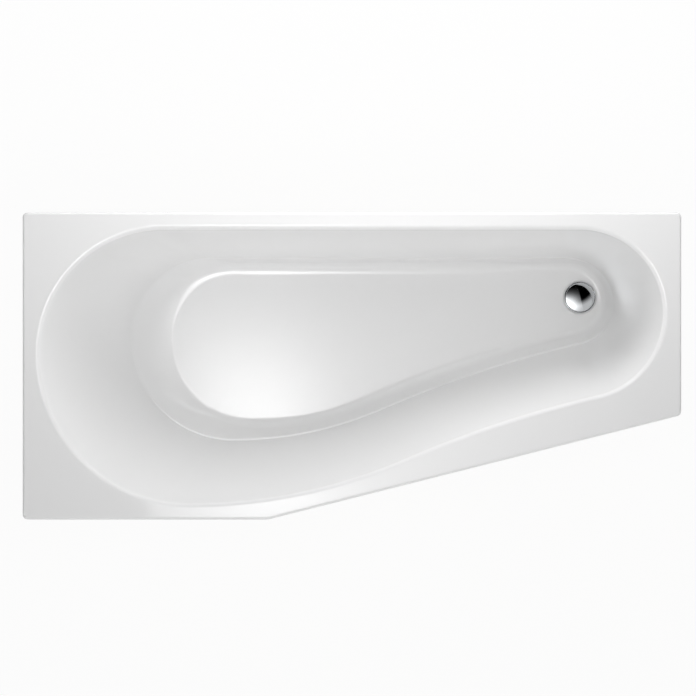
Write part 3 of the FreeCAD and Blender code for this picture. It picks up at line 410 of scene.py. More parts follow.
def lathe(profile, x, y, count, closed=True, shape=None, bm=None):
    # a body round an upright axis; the profile runs with the material on its left, as radius and height
    bm = bm or bmesh.new()
    rings = []
    for radius, height in profile:
        if radius < hair:
            rings.append([bm.verts.new((x, y, height))])
            continue
        ring = []
        for i in range(count):
            angle = 2 * math.pi * i / count
            reach = shape(angle, radius, height) if shape else radius
            ring.append(bm.verts.new((x + reach * math.cos(angle), y + reach * math.sin(angle), height)))
        rings.append(ring)
    for a, b in zip(rings, rings[1:] + rings[:1] if closed else rings[1:]):
        for i in range(count):
            k = (i + 1) % count
            corners = list(dict.fromkeys((a[i % len(a)], a[k % len(a)], b[k % len(b)], b[i % len(b)])))
            if len(corners) > 2:
                bm.faces.new(corners)
    return bm


def softened(profile, radii, steps=5):
    # rounds the corners of a profile; radii are in the profile's order, 0 keeps a corner sharp
    points = []
    for i, (corner, radius) in enumerate(zip(profile, radii)):
        before, here, after = [Vector((*p, 0)) for p in (profile[i - 1], corner, profile[(i + 1) % len(profile)])]
        found = roundedCorner(before, here, after, radius, steps) if radius else [here]
        points += [(p.x, p.y) for p in found]
    return points


def buildWaste(chrome):
    # flange with its tail and the bridge that carries the cartridge, heights from the floor of the recess
    size = {"level": 0.172, "tailBore": 0.0205, "tail": 0.0239, "tailEnd": -0.052, "seat": 0.001, "flange": 0.0375,
            "top": 0.005, "inside": 0.0357, "plate": 0.0025, "bridge": (-0.040, -0.034), "hub": 0.009,
            "hubBore": 0.0049, "hubColumns": 48, "columns": 128,
            "arms": 4, "arm": 0.0025, "armStart": 0.0072, "armEnd": 0.021525,
            "soft": (0.0004, 0.0008, 0.0005, 0.0004, 0.0011, 0.0006, 0.0004, 0.0015), "sharp": 40}
    x, y = waste["x"], waste["y"]
    profile = [(size[radius], size[level]) for radius, level in (
        ("tailBore", "tailEnd"), ("tail", "tailEnd"), ("tail", "seat"), ("flange", "seat"),
        ("flange", "top"), ("inside", "top"), ("inside", "plate"), ("tailBore", "plate"))]
    bm = lathe([(r, z + size["level"]) for r, z in softened(profile, size["soft"])], x, y, size["columns"])
    low, high = [size["level"] + z for z in size["bridge"]]
    for turn in range(size["arms"]):
        angle = 2 * math.pi * turn / size["arms"]
        ray = Vector((math.cos(angle), math.sin(angle)))
        side = Vector((-ray.y, ray.x)) * size["arm"]
        ends = [ray * size["armStart"] - side, ray * size["armEnd"] - side,
                ray * size["armEnd"] + side, ray * size["armStart"] + side]
        rings = addSkin(bm, [[(x + end.x, y + end.y, z) for end in ends] for z in (low, high)])
        bm.faces.new(rings[1])
        bm.faces.new(rings[0][::-1])
    hub = [(size["hubBore"], low), (size["hub"], low), (size["hub"], high), (size["hubBore"], high)]
    lathe(hub, x, y, size["hubColumns"], bm=bm)
    newPiece("wasteFlange", finishMesh(bm, size["sharp"]), "bath", chrome, ["waste_flange"])

    # the plug's dome is part of a sphere, and its first steps give way to the rounded shoulder
    plug = {"radius": 0.0346, "under": 0.0045, "shoulder": 0.0082, "top": 0.011, "boss": 0.006, "bossEnd": -0.0015,
            "domeSteps": 40, "firstStep": 2, "shoulderRadius": 0.0012}
    dome = plug["top"] - plug["shoulder"]
    sphere = (plug["radius"] ** 2 + dome ** 2) / (2 * dome)
    centre = plug["top"] - sphere
    arc = []
    for i in range(plug["firstStep"], plug["domeSteps"] + 1):
        angle = math.asin(plug["radius"] / sphere) * (1 - i / plug["domeSteps"])
        arc.append((sphere * math.sin(angle), centre + sphere * math.cos(angle)))
    shoulder = softened([(plug["radius"], plug["under"]), (plug["radius"], plug["shoulder"]), arc[0]],
                        [0, plug["shoulderRadius"], 0])
    outline = [(0, plug["bossEnd"]), (plug["boss"], plug["bossEnd"]), (plug["boss"], plug["under"])]
    outline += shoulder[:-1] + arc
    bm = lathe([(r, z + size["level"]) for r, z in outline], x, y, size["columns"], closed=False)
    newPiece("plugCap", finishMesh(bm, size["sharp"]), "plug", chrome, ["plug_cap"])


chrome = chromeMaterial()
buildWaste(chrome)
print("waste and plug built")


def glassFibreMaterial():
    # polyester resin over chopped strand mat: milky straw colour, short strands in every direction, glossy and lumpy
    look = {"resin": "#C6BC9C", "strand": "#E2DCC6", "roughness": 0.38, "ior": 1.54,
            "strandMm": (40.0, 1.5, 1.5), "strandDepthMm": 0.35, "lift": (0.58, 0.76), "bump": 0.8,
            "turns": ((0, -0.7, 0.1), (0, 0.9, -0.2), (0, -0.6, 1.4), (0, 0.8, 1.7), (0, 0.1, 0.8), (0, -0.1, -0.7))}
    material, tree, shader, place = newMaterial("glass fibre laminate, hand laid")
    strands = None
    for turn in look["turns"]:
        turned = addNode(tree, "ShaderNodeMapping", {"vector_type": "TEXTURE"}, {
            "Vector": place, "Rotation": turn, "Scale": [size * millimetre for size in look["strandMm"]]})
        mat = addNode(tree, "ShaderNodeTexNoise", {}, {
            "Vector": turned.outputs["Vector"], "Scale": 1.0, "Detail": 1.0})
        lifted = addNode(tree, "ShaderNodeMapRange", {}, {
            "Value": mat.outputs["Fac"], "From Min": look["lift"][0], "From Max": look["lift"][1]})
        strands = lifted if strands is None else addNode(tree, "ShaderNodeMath", {"operation": "MAXIMUM"}, {
            0: strands.outputs[0], 1: lifted.outputs[0]})
    tint = addNode(tree, "ShaderNodeMix", {"data_type": "RGBA"}, {
        "Factor": strands.outputs[0], "A": linear(look["resin"]), "B": linear(look["strand"])})
    bump = addNode(tree, "ShaderNodeBump", {}, {
        "Height": strands.outputs[0], "Distance": look["strandDepthMm"] * millimetre, "Strength": look["bump"]})
    setInputs(tree, shader, {"Base Color": tint.outputs["Result"], "Normal": bump.outputs["Normal"],
                             "Roughness": look["roughness"], "IOR": look["ior"]})
    return material


def chipboardMaterial():
    # raw chipboard: pressed flakes of pale and brown wood, matt, with small pits between them
    look = {"flakes": ("#A98552", "#C2A06E", "#D9BE8F"), "roughness": 0.78, "ior": 1.5, "flakeMm": 3.2,
            "pitDepthMm": 0.25, "pitReach": 0.25, "bump": 0.7}
    material, tree, shader, place = newMaterial("chipboard, raw")
    flake, edge = [addNode(tree, "ShaderNodeTexVoronoi", {"feature": feature}, {
        "Vector": place, "Scale": perMetre(look["flakeMm"])}) for feature in ("F1", "DISTANCE_TO_EDGE")]
    shade = addNode(tree, "ShaderNodeSeparateColor", {}, {"Color": flake.outputs["Color"]})
    woods = addNode(tree, "ShaderNodeValToRGB", {}, {"Fac": shade.outputs[0]})
    woods.color_ramp.elements.new(0.5)
    for stop, colour in zip(woods.color_ramp.elements, look["flakes"]):
        stop.color = linear(colour)
    pit = addNode(tree, "ShaderNodeMapRange", {}, {"Value": edge.outputs["Distance"], "From Max": look["pitReach"]})
    bump = addNode(tree, "ShaderNodeBump", {}, {
        "Height": pit.outputs["Result"], "Distance": look["pitDepthMm"] * millimetre, "Strength": look["bump"]})
    setInputs(tree, shader, {"Base Color": woods.outputs["Color"], "Normal": bump.outputs["Normal"],
                             "Roughness": look["roughness"], "IOR": look["ior"]})
    return material


def platedSteelMaterial(name, look):
    # zinc on steel: hot dip leaves large crystals that differ in dullness, electroplate a finer and brighter skin
    material, tree, shader, place = newMaterial(name)
    grain = addNode(tree, "ShaderNodeTexVoronoi", {}, {"Vector": place, "Scale": perMetre(look["grainMm"])})
    shade = addNode(tree, "ShaderNodeSeparateColor", {}, {"Color": grain.outputs["Color"]})
    tint = addNode(tree, "ShaderNodeMix", {"data_type": "RGBA"}, {
        "Factor": shade.outputs[1], "A": linear(look["dark"]), "B": linear(look["light"])})
    level = addNode(tree, "ShaderNodeMapRange", {}, {
        "Value": shade.outputs[0], "To Min": look["roughness"][0], "To Max": look["roughness"][1]})
    setInputs(tree, shader, {
        "Base Color": tint.outputs["Result"], "Roughness": level.outputs["Result"], "Metallic": 1.0})
    return material


def mouldedMaterial(name, look):
    # moulded polymer: even colour with a slight drift, and the fine spark grain of the tool
    material, tree, shader, place = newMaterial(name)
    drift, grain = [addNode(tree, "ShaderNodeTexNoise", {}, {
        "Vector": place, "Scale": perMetre(look[size]), "Detail": 2.0}) for size in ("driftMm", "grainMm")]
    tint = addNode(tree, "ShaderNodeMix", {"data_type": "RGBA"}, {
        "Factor": drift.outputs["Fac"], "A": linear(look["dark"]), "B": linear(look["light"])})
    bump = addNode(tree, "ShaderNodeBump", {}, {
        "Height": grain.outputs["Fac"], "Distance": look["grainDepthMm"] * millimetre, "Strength": look["bump"]})
    setInputs(tree, shader, {"Base Color": tint.outputs["Result"], "Normal": bump.outputs["Normal"],
                             "Roughness": look["roughness"], "IOR": look["ior"]})
    return material


def brassMaterial():
    # turned brass, unplated: warm yellow with tool rings that scatter the light a little, drawn about 3 mm apart,
    # wider than a tool leaves them, so that they show
    look = {"colour": "#D9BE78", "worn": "#C7A65C", "roughness": (0.22, 0.36), "ringMm": 3.14159, "ringWander": 0.4,
            "patchMm": 12.0}
    waveLength = math.pi / 10   # of the wave texture at scale 1
    material, tree, shader, place = newMaterial("brass, turned")
    patch = addNode(tree, "ShaderNodeTexNoise", {}, {
        "Vector": place, "Scale": perMetre(look["patchMm"]), "Detail": 3.0})
    ring = addNode(tree, "ShaderNodeTexWave", {"bands_direction": "Z"}, {
        "Vector": place, "Scale": waveLength * perMetre(look["ringMm"]), "Distortion": look["ringWander"]})
    tint = addNode(tree, "ShaderNodeMix", {"data_type": "RGBA"}, {
        "Factor": patch.outputs["Fac"], "A": linear(look["colour"]), "B": linear(look["worn"])})
    level = addNode(tree, "ShaderNodeMapRange", {}, {
        "Value": ring.outputs["Fac"], "To Min": look["roughness"][0], "To Max": look["roughness"][1]})
    setInputs(tree, shader, {
        "Base Color": tint.outputs["Result"], "Roughness": level.outputs["Result"], "Metallic": 1.0})
    return material


glassFibre = glassFibreMaterial()
chipboard = chipboardMaterial()
galvanised = platedSteelMaterial("steel, hot dip galvanised", {
    "dark": "#A9AEB1", "light": "#C3C7C9", "roughness": (0.28, 0.48), "grainMm": 11.0})
zincPlate = platedSteelMaterial("steel, bright zinc plate", {
    "dark": "#BFC2C4", "light": "#CDD0D1", "roughness": (0.20, 0.30), "grainMm": 2.0})
blackPlastic = mouldedMaterial("polypropylene, black, moulded", {
    "dark": "#161617", "light": "#1F1F21", "roughness": 0.48, "ior": 1.49,
    "driftMm": 25.0, "grainMm": 0.6, "grainDepthMm": 0.04, "bump": 0.6})
whitePlastic = mouldedMaterial("polypropylene, white, moulded", {
    "dark": "#E3E4E2", "light": "#EBECEA", "roughness": 0.36, "ior": 1.49,
    "driftMm": 40.0, "grainMm": 0.8, "grainDepthMm": 0.015, "bump": 0.6})
rubber = mouldedMaterial("nitrile rubber, moulded", {
    "dark": "#141414", "light": "#1D1D1C", "roughness": 0.62, "ior": 1.52,
    "driftMm": 12.0, "grainMm": 0.5, "grainDepthMm": 0.05, "bump": 0.6})
brass = brassMaterial()
print("finishes ready")


def buildBacking(material):
    # resin and chopped glass laid by hand on the back of the sheet: even against it, lumpy on the open side
    layer = {"gap": 0.0003, "thickness": 0.004, "underside": 0.1627, "seatRadius": 0.0428, "seatLevel": 0.1667,
             "lumpMm": 55.0, "lumpDepthMm": 0.5, "lumpFade": 0.03, "lumpFrom": 0.01}
    inner = basin["thickness"] + layer["gap"]
    outer = inner + layer["thickness"]
    top = basin["rimHeight"] - inner
    under = top - layer["thickness"]
    bm = bmesh.new()
    plate = addSkin(bm, [rimLoop(inner, top), rimLoop(inner, under)], flip=True)

    # the side against the sheet, with the seat for the boss and the hole for the waste
    cavity = addSkin(bm, basinRings({"grow": inner, "top": top}))
    addRing(bm, plate[0], cavity[0])
    level = basin["rimHeight"] - basin["floorDepth"] - inner
    seat = addSkin(bm, [
        circleLoop(layer["seatRadius"], level, slopeFall), circleLoop(layer["seatRadius"], layer["seatLevel"]),
        circleLoop(waste["holeRadius"], layer["seatLevel"]), circleLoop(waste["holeRadius"], layer["underside"])])
    addRing(bm, cavity[-1], seat[0])

    # the open side, level underneath for the board; its lumps fade out at the rim and the board
    outwards = basinOutline(basin["opening"], outer)[1]
    rings = basinRings({"grow": outer, "top": under, "level": layer["underside"]})
    for ring in rings:
        for point, outward in zip(ring, outwards):
            room = min(under - point.z, point.z - layer["underside"] - layer["lumpFrom"])
            lump = noise.noise(point / (layer["lumpMm"] * millimetre)) * ramp(room, 0, layer["lumpFade"])
            point.x += outward.x * lump * layer["lumpDepthMm"] * millimetre
            point.y += outward.y * lump * layer["lumpDepthMm"] * millimetre
    outside = addSkin(bm, rings, flip=True)
    addRing(bm, plate[1], outside[0], up=False)
    addRing(bm, outside[-1], seat[-1], up=False)
    return newPiece("fibreglassBacking", finishMesh(bm), "bath", material, ["fibreglass_backing"])


backing = buildBacking(glassFibre)
print("backing:", len(backing.data.polygons), "faces")


def nodesToMesh(tree, values):
    # runs a node tree and keeps the result as a plain mesh
    holder = bpy.data.objects.new("holder", bpy.data.meshes.new("holder"))
    bpy.context.scene.collection.objects.link(holder)
    modifier = holder.modifiers.new("nodes", "NODES")
    modifier.node_group = tree
    for item in tree.interface.items_tree:
        if item.in_out == "INPUT" and item.name in values:
            modifier[item.identifier] = values[item.name]
    found = holder.evaluated_get(bpy.context.evaluated_depsgraph_get())
    mesh = bpy.data.meshes.new_from_object(found)
    holder.modifiers.clear()
    bpy.data.objects.remove(holder)
    return mesh


def newTree(name, sockets):
    # a tree with named inputs and one geometry as its output
    tree = bpy.data.node_groups.new(name, "GeometryNodeTree")
    tree.interface.new_socket("Geometry", in_out="OUTPUT", socket_type="NodeSocketGeometry")
    for label, kind in sockets:
        tree.interface.new_socket(label, in_out="INPUT", socket_type="NodeSocket" + kind)
    return tree


def endTree(tree, shape, material):
    # instances made real, smooth shading and the finish
    real = addNode(tree, "GeometryNodeRealizeInstances", {}, {0: shape})
    smooth = addNode(tree, "GeometryNodeSetShadeSmooth", {}, {"Geometry": real.outputs[0]})
    painted = addNode(tree, "GeometryNodeSetMaterial", {}, {
        "Geometry": smooth.outputs["Geometry"], "Material": material})
    addNode(tree, "NodeGroupOutput", {}, {0: painted.outputs["Geometry"]})


def threadTree():
    # a screw thread as one rolled sheet: columns go round, rows go up, the first and last rows close the ends
    form = {"rootFlat": 0.07, "flankRun": 0.36, "mergeMm": 0.002}   # shares of a pitch, and what closes the seam
    tree = newTree("screwThread", (
        ("Core", "Float"), ("Crest", "Float"), ("Pitch", "Float"), ("Bottom", "Float"), ("Top", "Float"),
        ("Bore", "Float"), ("Columns", "Int"), ("Rows", "Int"), ("Wrap", "Int"), ("Place", "Vector"),
        ("Material", "Material")))
    given = addNode(tree, "NodeGroupInput").outputs
    where = addNode(tree, "GeometryNodeInputPosition").outputs[0]
    where = addNode(tree, "ShaderNodeSeparateXYZ", {}, {0: where}).outputs
    found = {"across": where["X"], "up": where["Y"], **{socket.name: socket for socket in given if socket.name}}
    for name, operation, *terms in (
            # which column and row a point is in
            ("high", "ADD", "Rows", "Wrap"), ("wide", "ADD", "Columns", 1.0), ("gaps", "SUBTRACT", "high", 1.0),
            ("turn", "ADD", "across", 0.5), ("lift", "ADD", "up", 0.5), ("step", "MULTIPLY", "lift", "gaps"),
            ("row", "ROUND", "step"),
            # its height, with the closing rows folded onto the ends
            ("past", "SUBTRACT", "row", 1.0), ("rowsUp", "SUBTRACT", "Rows", 3.0), ("part", "DIVIDE", "past", "rowsUp"),
            ("atLeast", "MAXIMUM", "part", 0.0), ("atMost", "MINIMUM", "atLeast", 1.0),
            ("wrapRow", "SUBTRACT", "Rows", 0.5), ("unwrapped", "LESS_THAN", "row", "wrapRow"),
            ("share", "MULTIPLY", "atMost", "unwrapped"),
            ("length", "SUBTRACT", "Top", "Bottom"), ("height", "MULTIPLY_ADD", "share", "length", "Bottom"),
            # the ridge that climbs one pitch in a turn
            ("pitches", "DIVIDE", "height", "Pitch"), ("phase", "SUBTRACT", "pitches", "turn"),
            ("wave", "PINGPONG", "phase", 0.5), ("flank", "SUBTRACT", "wave", form["rootFlat"]),
            ("slope", "DIVIDE", "flank", form["flankRun"]), ("root", "MAXIMUM", "slope", 0.0),
            ("ridge", "MINIMUM", "root", 1.0),
            # it runs out at both ends
            ("above", "SUBTRACT", "height", "Bottom"), ("below", "SUBTRACT", "Top", "height"),
            ("nearer", "MINIMUM", "above", "below"), ("runOut", "DIVIDE", "nearer", "Pitch"),
            ("lead", "MINIMUM", "runOut", 1.0), ("rise", "MULTIPLY", "ridge", "lead"),
            ("depth", "SUBTRACT", "Crest", "Core"), ("thread", "MULTIPLY_ADD", "rise", "depth", "Core"),
            # first and last rows go in to the bore
            ("afterFirst", "GREATER_THAN", "row", 0.5), ("lastRow", "SUBTRACT", "Rows", 1.5),
            ("beforeLast", "LESS_THAN", "row", "lastRow"), ("skin", "MULTIPLY", "afterFirst", "beforeLast"),
            ("wall", "SUBTRACT", "thread", "Bore"), ("radius", "MULTIPLY_ADD", "skin", "wall", "Bore"),
            ("angle", "MULTIPLY", "turn", 2 * math.pi), ("cosine", "COSINE", "angle"), ("sine", "SINE", "angle"),
            ("x", "MULTIPLY", "radius", "cosine"), ("y", "MULTIPLY", "radius", "sine")):
        found[name] = addNode(tree, "ShaderNodeMath", {"operation": operation}, {
            i: found.get(term, term) for i, term in enumerate(terms)}).outputs[0]
    sheet = addNode(tree, "GeometryNodeMeshGrid", {}, {"Vertices X": found["wide"], "Vertices Y": found["high"]})
    spot = addNode(tree, "ShaderNodeCombineXYZ", {}, {"X": found["x"], "Y": found["y"], "Z": found["height"]})
    spot = addNode(tree, "ShaderNodeVectorMath", {"operation": "ADD"}, {0: spot.outputs[0], 1: given["Place"]})
    rolled = addNode(tree, "GeometryNodeSetPosition", {}, {
        "Geometry": sheet.outputs["Mesh"], "Position": spot.outputs[0]})
    closed = addNode(tree, "GeometryNodeMergeByDistance", {}, {
        "Geometry": rolled.outputs[0], "Distance": form["mergeMm"] * millimetre})
    endTree(tree, closed.outputs[0], given["Material"])
    return tree


feet = [(-0.330, 0.285), (-0.330, -0.250), (0.330, 0.285), (0.330, -0.130117)]
screwThread = threadTree()


def buildRods(material):
    # M12 rods, coarse thread
    rod = {"Core": 0.0051, "Crest": 0.0060, "Pitch": 0.00175, "Bottom": 0.008, "Top": 0.1687, "Bore": 0.0,
           "Columns": 20, "Rows": 560, "Wrap": 0, "Material": material}
    for k, (x, y) in enumerate(feet, 1):
        mesh = nodesToMesh(screwThread, {**rod, "Place": (x, y, 0)})
        newPiece(f"threadedRod{k}", mesh, f"foot_{k}", material, [f"threaded_rod_{k}"])
    return mesh


def buildTailThread(material):
    # pipe thread on the tail of the waste, where the back nut and the union nut run
    tail = {"Core": 0.0226, "Crest": 0.0239, "Pitch": 0.00231, "Bottom": 0.1205, "Top": 0.1600, "Bore": 0.0215,
            "Columns": 64, "Rows": 110, "Wrap": 1, "Material": material}
    mesh = nodesToMesh(screwThread, {**tail, "Place": (waste["x"], waste["y"], 0)})
    newPiece("tailThread", mesh, "bath", material)
    return mesh


rodMesh = buildRods(zincPlate)
tailMesh = buildTailThread(chrome)
print("threads:", len(rodMesh.polygons), "faces a rod,", len(tailMesh.polygons), "on the tail")


def hexReach(angle, flats):
    # distance from the axis to the side of a hexagon
    sixth = math.pi / 3
    return flats / 2 / math.cos((angle + sixth / 2) % sixth - sixth / 2)


def hexNut(bm, nut, x, y, base, side):
    # a chamfered nut built away from its seat; side is 1 upwards and -1 downwards
    corner, flat, height = nut["flats"] / math.sqrt(3), nut["flats"] / 2, nut["height"]
    bore, soft, steps = nut["bore"], nut["chamfer"], nut["steps"]
    chamfer = (corner - flat) * nut["chamferSlope"]
    start = nut.get("flangeHeight", 0.0)
    profile = [(bore, soft), (bore + soft, 0)]
    if "flange" in nut:
        flange, (wall, slope), (wide, near) = nut["flange"], nut["flangeShares"], nut["cornerClear"]
        profile += [(flange - soft, 0), (flange, soft), (flange, start * wall), (flange - 2 * soft, start * slope)]
        # the flange ends just outside the corners
        profile += [(corner + wide, start), (corner + near, start + nut["cornerRise"])]
    else:
        profile += [(flat + (corner - flat) * i / steps, chamfer * i / steps) for i in range(steps + 1)]
    profile += [(corner - (corner - flat) * i / steps, height - chamfer * (1 - i / steps)) for i in range(steps + 1)]
    profile += [(bore + soft, height), (bore, height - soft)]

    def shape(angle, radius, level):
        inFlange = "flange" in nut and (level - base) * side <= start + hair
        return radius if inFlange else min(radius, hexReach(angle, nut["flats"]))

    points = [(radius, base + side * z) for radius, z in profile]
    lathe(points if side > 0 else points[::-1], x, y, nut["columns"], shape=shape, bm=bm)


def buildNuts():
    # two flanged nuts on each rod, with the rail's web between them, and the large nut under the waste
    level = {"flats": 0.019, "height": 0.012, "flange": 0.013, "flangeHeight": 0.003, "bore": 0.0061, "chamfer": 0.0006,
             "chamferSlope": 0.55, "steps": 5, "columns": 72, "upper": 0.1488, "lower": 0.1461, "sharp": 24,
             "flangeShares": (0.5, 0.9), "cornerClear": (0.0002, 0.0001), "cornerRise": 0.00005}
    for k, (x, y) in enumerate(feet, 1):
        bm = bmesh.new()
        hexNut(bm, level, x, y, level["upper"], 1)
        hexNut(bm, level, x, y, level["lower"], -1)
        newPiece(f"levellingNuts{k}", finishMesh(bm, level["sharp"]), f"nuts_{k}", zincPlate,
                 [f"levelling_nuts_{k}"])
    back = {"flats": 0.064, "height": 0.010, "bore": 0.0241, "chamfer": 0.0008, "chamferSlope": 0.55, "steps": 5,
            "columns": 144, "seat": 0.1587, "sharp": 24}
    bm = bmesh.new()
    hexNut(bm, back, waste["x"], waste["y"], back["seat"], -1)
    newPiece("backNut", finishMesh(bm, back["sharp"]), "bath", brass, ["back_nut"])


buildNuts()
print("nuts built")


def ribShare(angle, radius, body):
    # 1 on an upright rib of a round body, falling smoothly to 0 beside it
    spacing = 2 * math.pi / body["ribs"]
    off = abs((angle + spacing / 2) % spacing - spacing / 2) * radius
    share = ramp(-off, -body["ribHalf"] - body["ribSoft"], body["ribSoft"])
    return share * share * (3 - 2 * share)


def buildPads(material):
    # moulded feet: a cone hollowed between eight ribs, a socket for the rod and a ring of tread underneath
    pad = {"radius": 0.030, "edge": 0.007, "height": 0.026, "neck": 0.012, "socket": 0.0061, "floor": 0.008,
           "tread": 0.004, "ribs": 8, "ribHalf": 0.0014, "ribSoft": 0.0008, "ribTaper": 0.02, "hollow": 2.3,
           "columns": 192, "steps": 14, "soft": 0.0012, "cornerShare": 0.3, "sideShare": 1.6, "edgeShare": 0.6,
           "valleyShare": 0.4, "lead": 0.0006, "neckEdge": 0.0008, "sharp": 35}
    radius, edge, height, soft, lead = [pad[key] for key in ("radius", "edge", "height", "soft", "lead")]
    run, rise = radius - lead - pad["neck"], height - edge
    corner, valley = soft * pad["cornerShare"], soft * pad["valleyShare"]
    # radius and height of the plain rings under the cone and over it, rounded by shares of the soft radius
    below = ((radius - pad["tread"], 0.0), (radius - soft, 0.0), (radius - corner, corner), (radius, soft),
             (radius, edge - soft * pad["sideShare"]), (radius - corner, edge - soft * pad["edgeShare"]))
    above = ((pad["neck"] - pad["neckEdge"], height), (pad["socket"] + lead, height), (pad["socket"], height - lead),
             (pad["socket"], pad["floor"]))
    for k, at in enumerate(feet, 1):
        cone = []
        for step in range(1, pad["steps"] + 1):
            share = step / pad["steps"]
            reach = radius - lead - share * run
            low, full = edge - valley + rise * share ** pad["hollow"], edge + rise * share
            ring = circleLoop(reach, low, count=pad["columns"], at=at)
            for i, point in enumerate(ring):
                rib = ribShare(2 * math.pi * i / pad["columns"], reach, pad)
                point.z += (full - low) * rib * (1 - pad["ribTaper"] * (1 - share))
            cone.append(ring)
        lower, upper = [[circleLoop(r, z, count=pad["columns"], at=at) for r, z in part] for part in (below, above)]
        bm = bmesh.new()
        loops = addSkin(bm, lower + cone + upper)
        bm.faces.new(loops[-1])
        bm.faces.new(loops[0][::-1])
        newPiece(f"footPad{k}", finishMesh(bm, pad["sharp"]), f"foot_{k}", material, [f"foot_pad_{k}"])


buildPads(blackPlastic)
print("feet built")


def screwTree():
    # a row of screws: points on a line, one head on each
    tree = newTree("screwRow", (
        ("Head", "Object"), ("Count", "Int"), ("Start", "Vector"), ("Spacing", "Vector"), ("Material", "Material")))
    given = addNode(tree, "NodeGroupInput").outputs
    line = addNode(tree, "GeometryNodeMeshLine", {}, {
        "Count": given["Count"], "Start Location": given["Start"], "Offset": given["Spacing"]})
    head = addNode(tree, "GeometryNodeObjectInfo", {}, {"Object": given["Head"]})
    row = addNode(tree, "GeometryNodeInstanceOnPoints", {}, {
        "Points": line.outputs["Mesh"], "Instance": head.outputs["Geometry"]})
    endTree(tree, row.outputs["Instances"], given["Material"])
    return tree


def buildScrews(material):
    # pan head screws through the web of each rail into the board, heads downwards with a cross recess
    screw = {"radius": 0.0042, "height": 0.0024, "side": 0.0008, "shoulder": (0.35, 0.7, 1.0),
             "shoulderIn": (0.98, 0.00008), "recess": 0.0019, "recessEdge": (1.15, 0.00005), "recessTaper": 0.7,
             "depth": 0.0013, "point": 1.2, "crossCore": 0.32, "crossPower": 8, "columns": 48, "sharp": 40,
             "rows": (("head", 3, (-0.330, 0.150, 0.1462), (0, -0.095, 0)),
                      ("foot", 2, (0.330, 0.185, 0.1462), (0, -0.060, 0)))}
    side, top, recess, depth = screw["side"], screw["height"], screw["recess"], screw["depth"]
    share, inset = screw["shoulderIn"]
    edge, lip = screw["recessEdge"]
    profile = [(screw["radius"], 0.0), (screw["radius"], -side)]
    profile += [(screw["radius"] * math.cos(angle) * share + inset, -side - (top - side) * math.sin(angle))
                for angle in screw["shoulder"]]
    profile += [(recess * edge, -top), (recess, lip - top), (recess * screw["recessTaper"], depth - top),
                (0, depth * screw["point"] - top)]

    def shape(angle, radius, level):
        star = screw["crossCore"] + (1 - screw["crossCore"]) * abs(math.cos(2 * angle)) ** screw["crossPower"]
        return radius * star if radius <= recess + hair else radius

    bm = lathe(profile[::-1], 0, 0, screw["columns"], closed=False, shape=shape)
    bm.faces.new([v for v in bm.verts if abs(v.co.z) < hair])
    bmesh.ops.recalc_face_normals(bm, faces=bm.faces)
    head = bpy.data.objects.new("screwHead", finishMesh(bm, screw["sharp"]))
    bpy.context.scene.collection.objects.link(head)
    tree = screwTree()
    for name, count, start, spacing in screw["rows"]:
        values = {"Head": head, "Count": count, "Start": start, "Spacing": spacing, "Material": material}
        newPiece(f"{name}RailScrews", nodesToMesh(tree, values), "bath", material)
    bpy.data.objects.remove(head)


buildScrews(zincPlate)
print("rail screws placed")


def grip(body):
    # rounded grip ribs that stand up round a body, as a shape for lathe
    def shape(angle, radius, level):
        if radius < body["radius"] - body["ribRim"]:
            return radius
        return radius + body["ribDepth"] * ribShare(angle, body["radius"], body)

    return shape


def tube(bm, path, radius, columns, seam=None):
    # a round skin along a path in an upright plane, each point with its direction; one with a seam faces outwards
    rings = []
    for point, along in path:
        up = Vector((-along.z, 0, along.x))
        ring = []
        for i in range(columns):
            angle = 2 * math.pi * i / columns
            reach = radius + (seam if seam and i % (columns // 2) == 0 else 0.0)
            ring.append(point + (Vector((0, 1, 0)) * math.cos(angle) + up * math.sin(angle)) * reach)
        rings.append(ring)
    return addSkin(bm, rings, flip=seam is None)


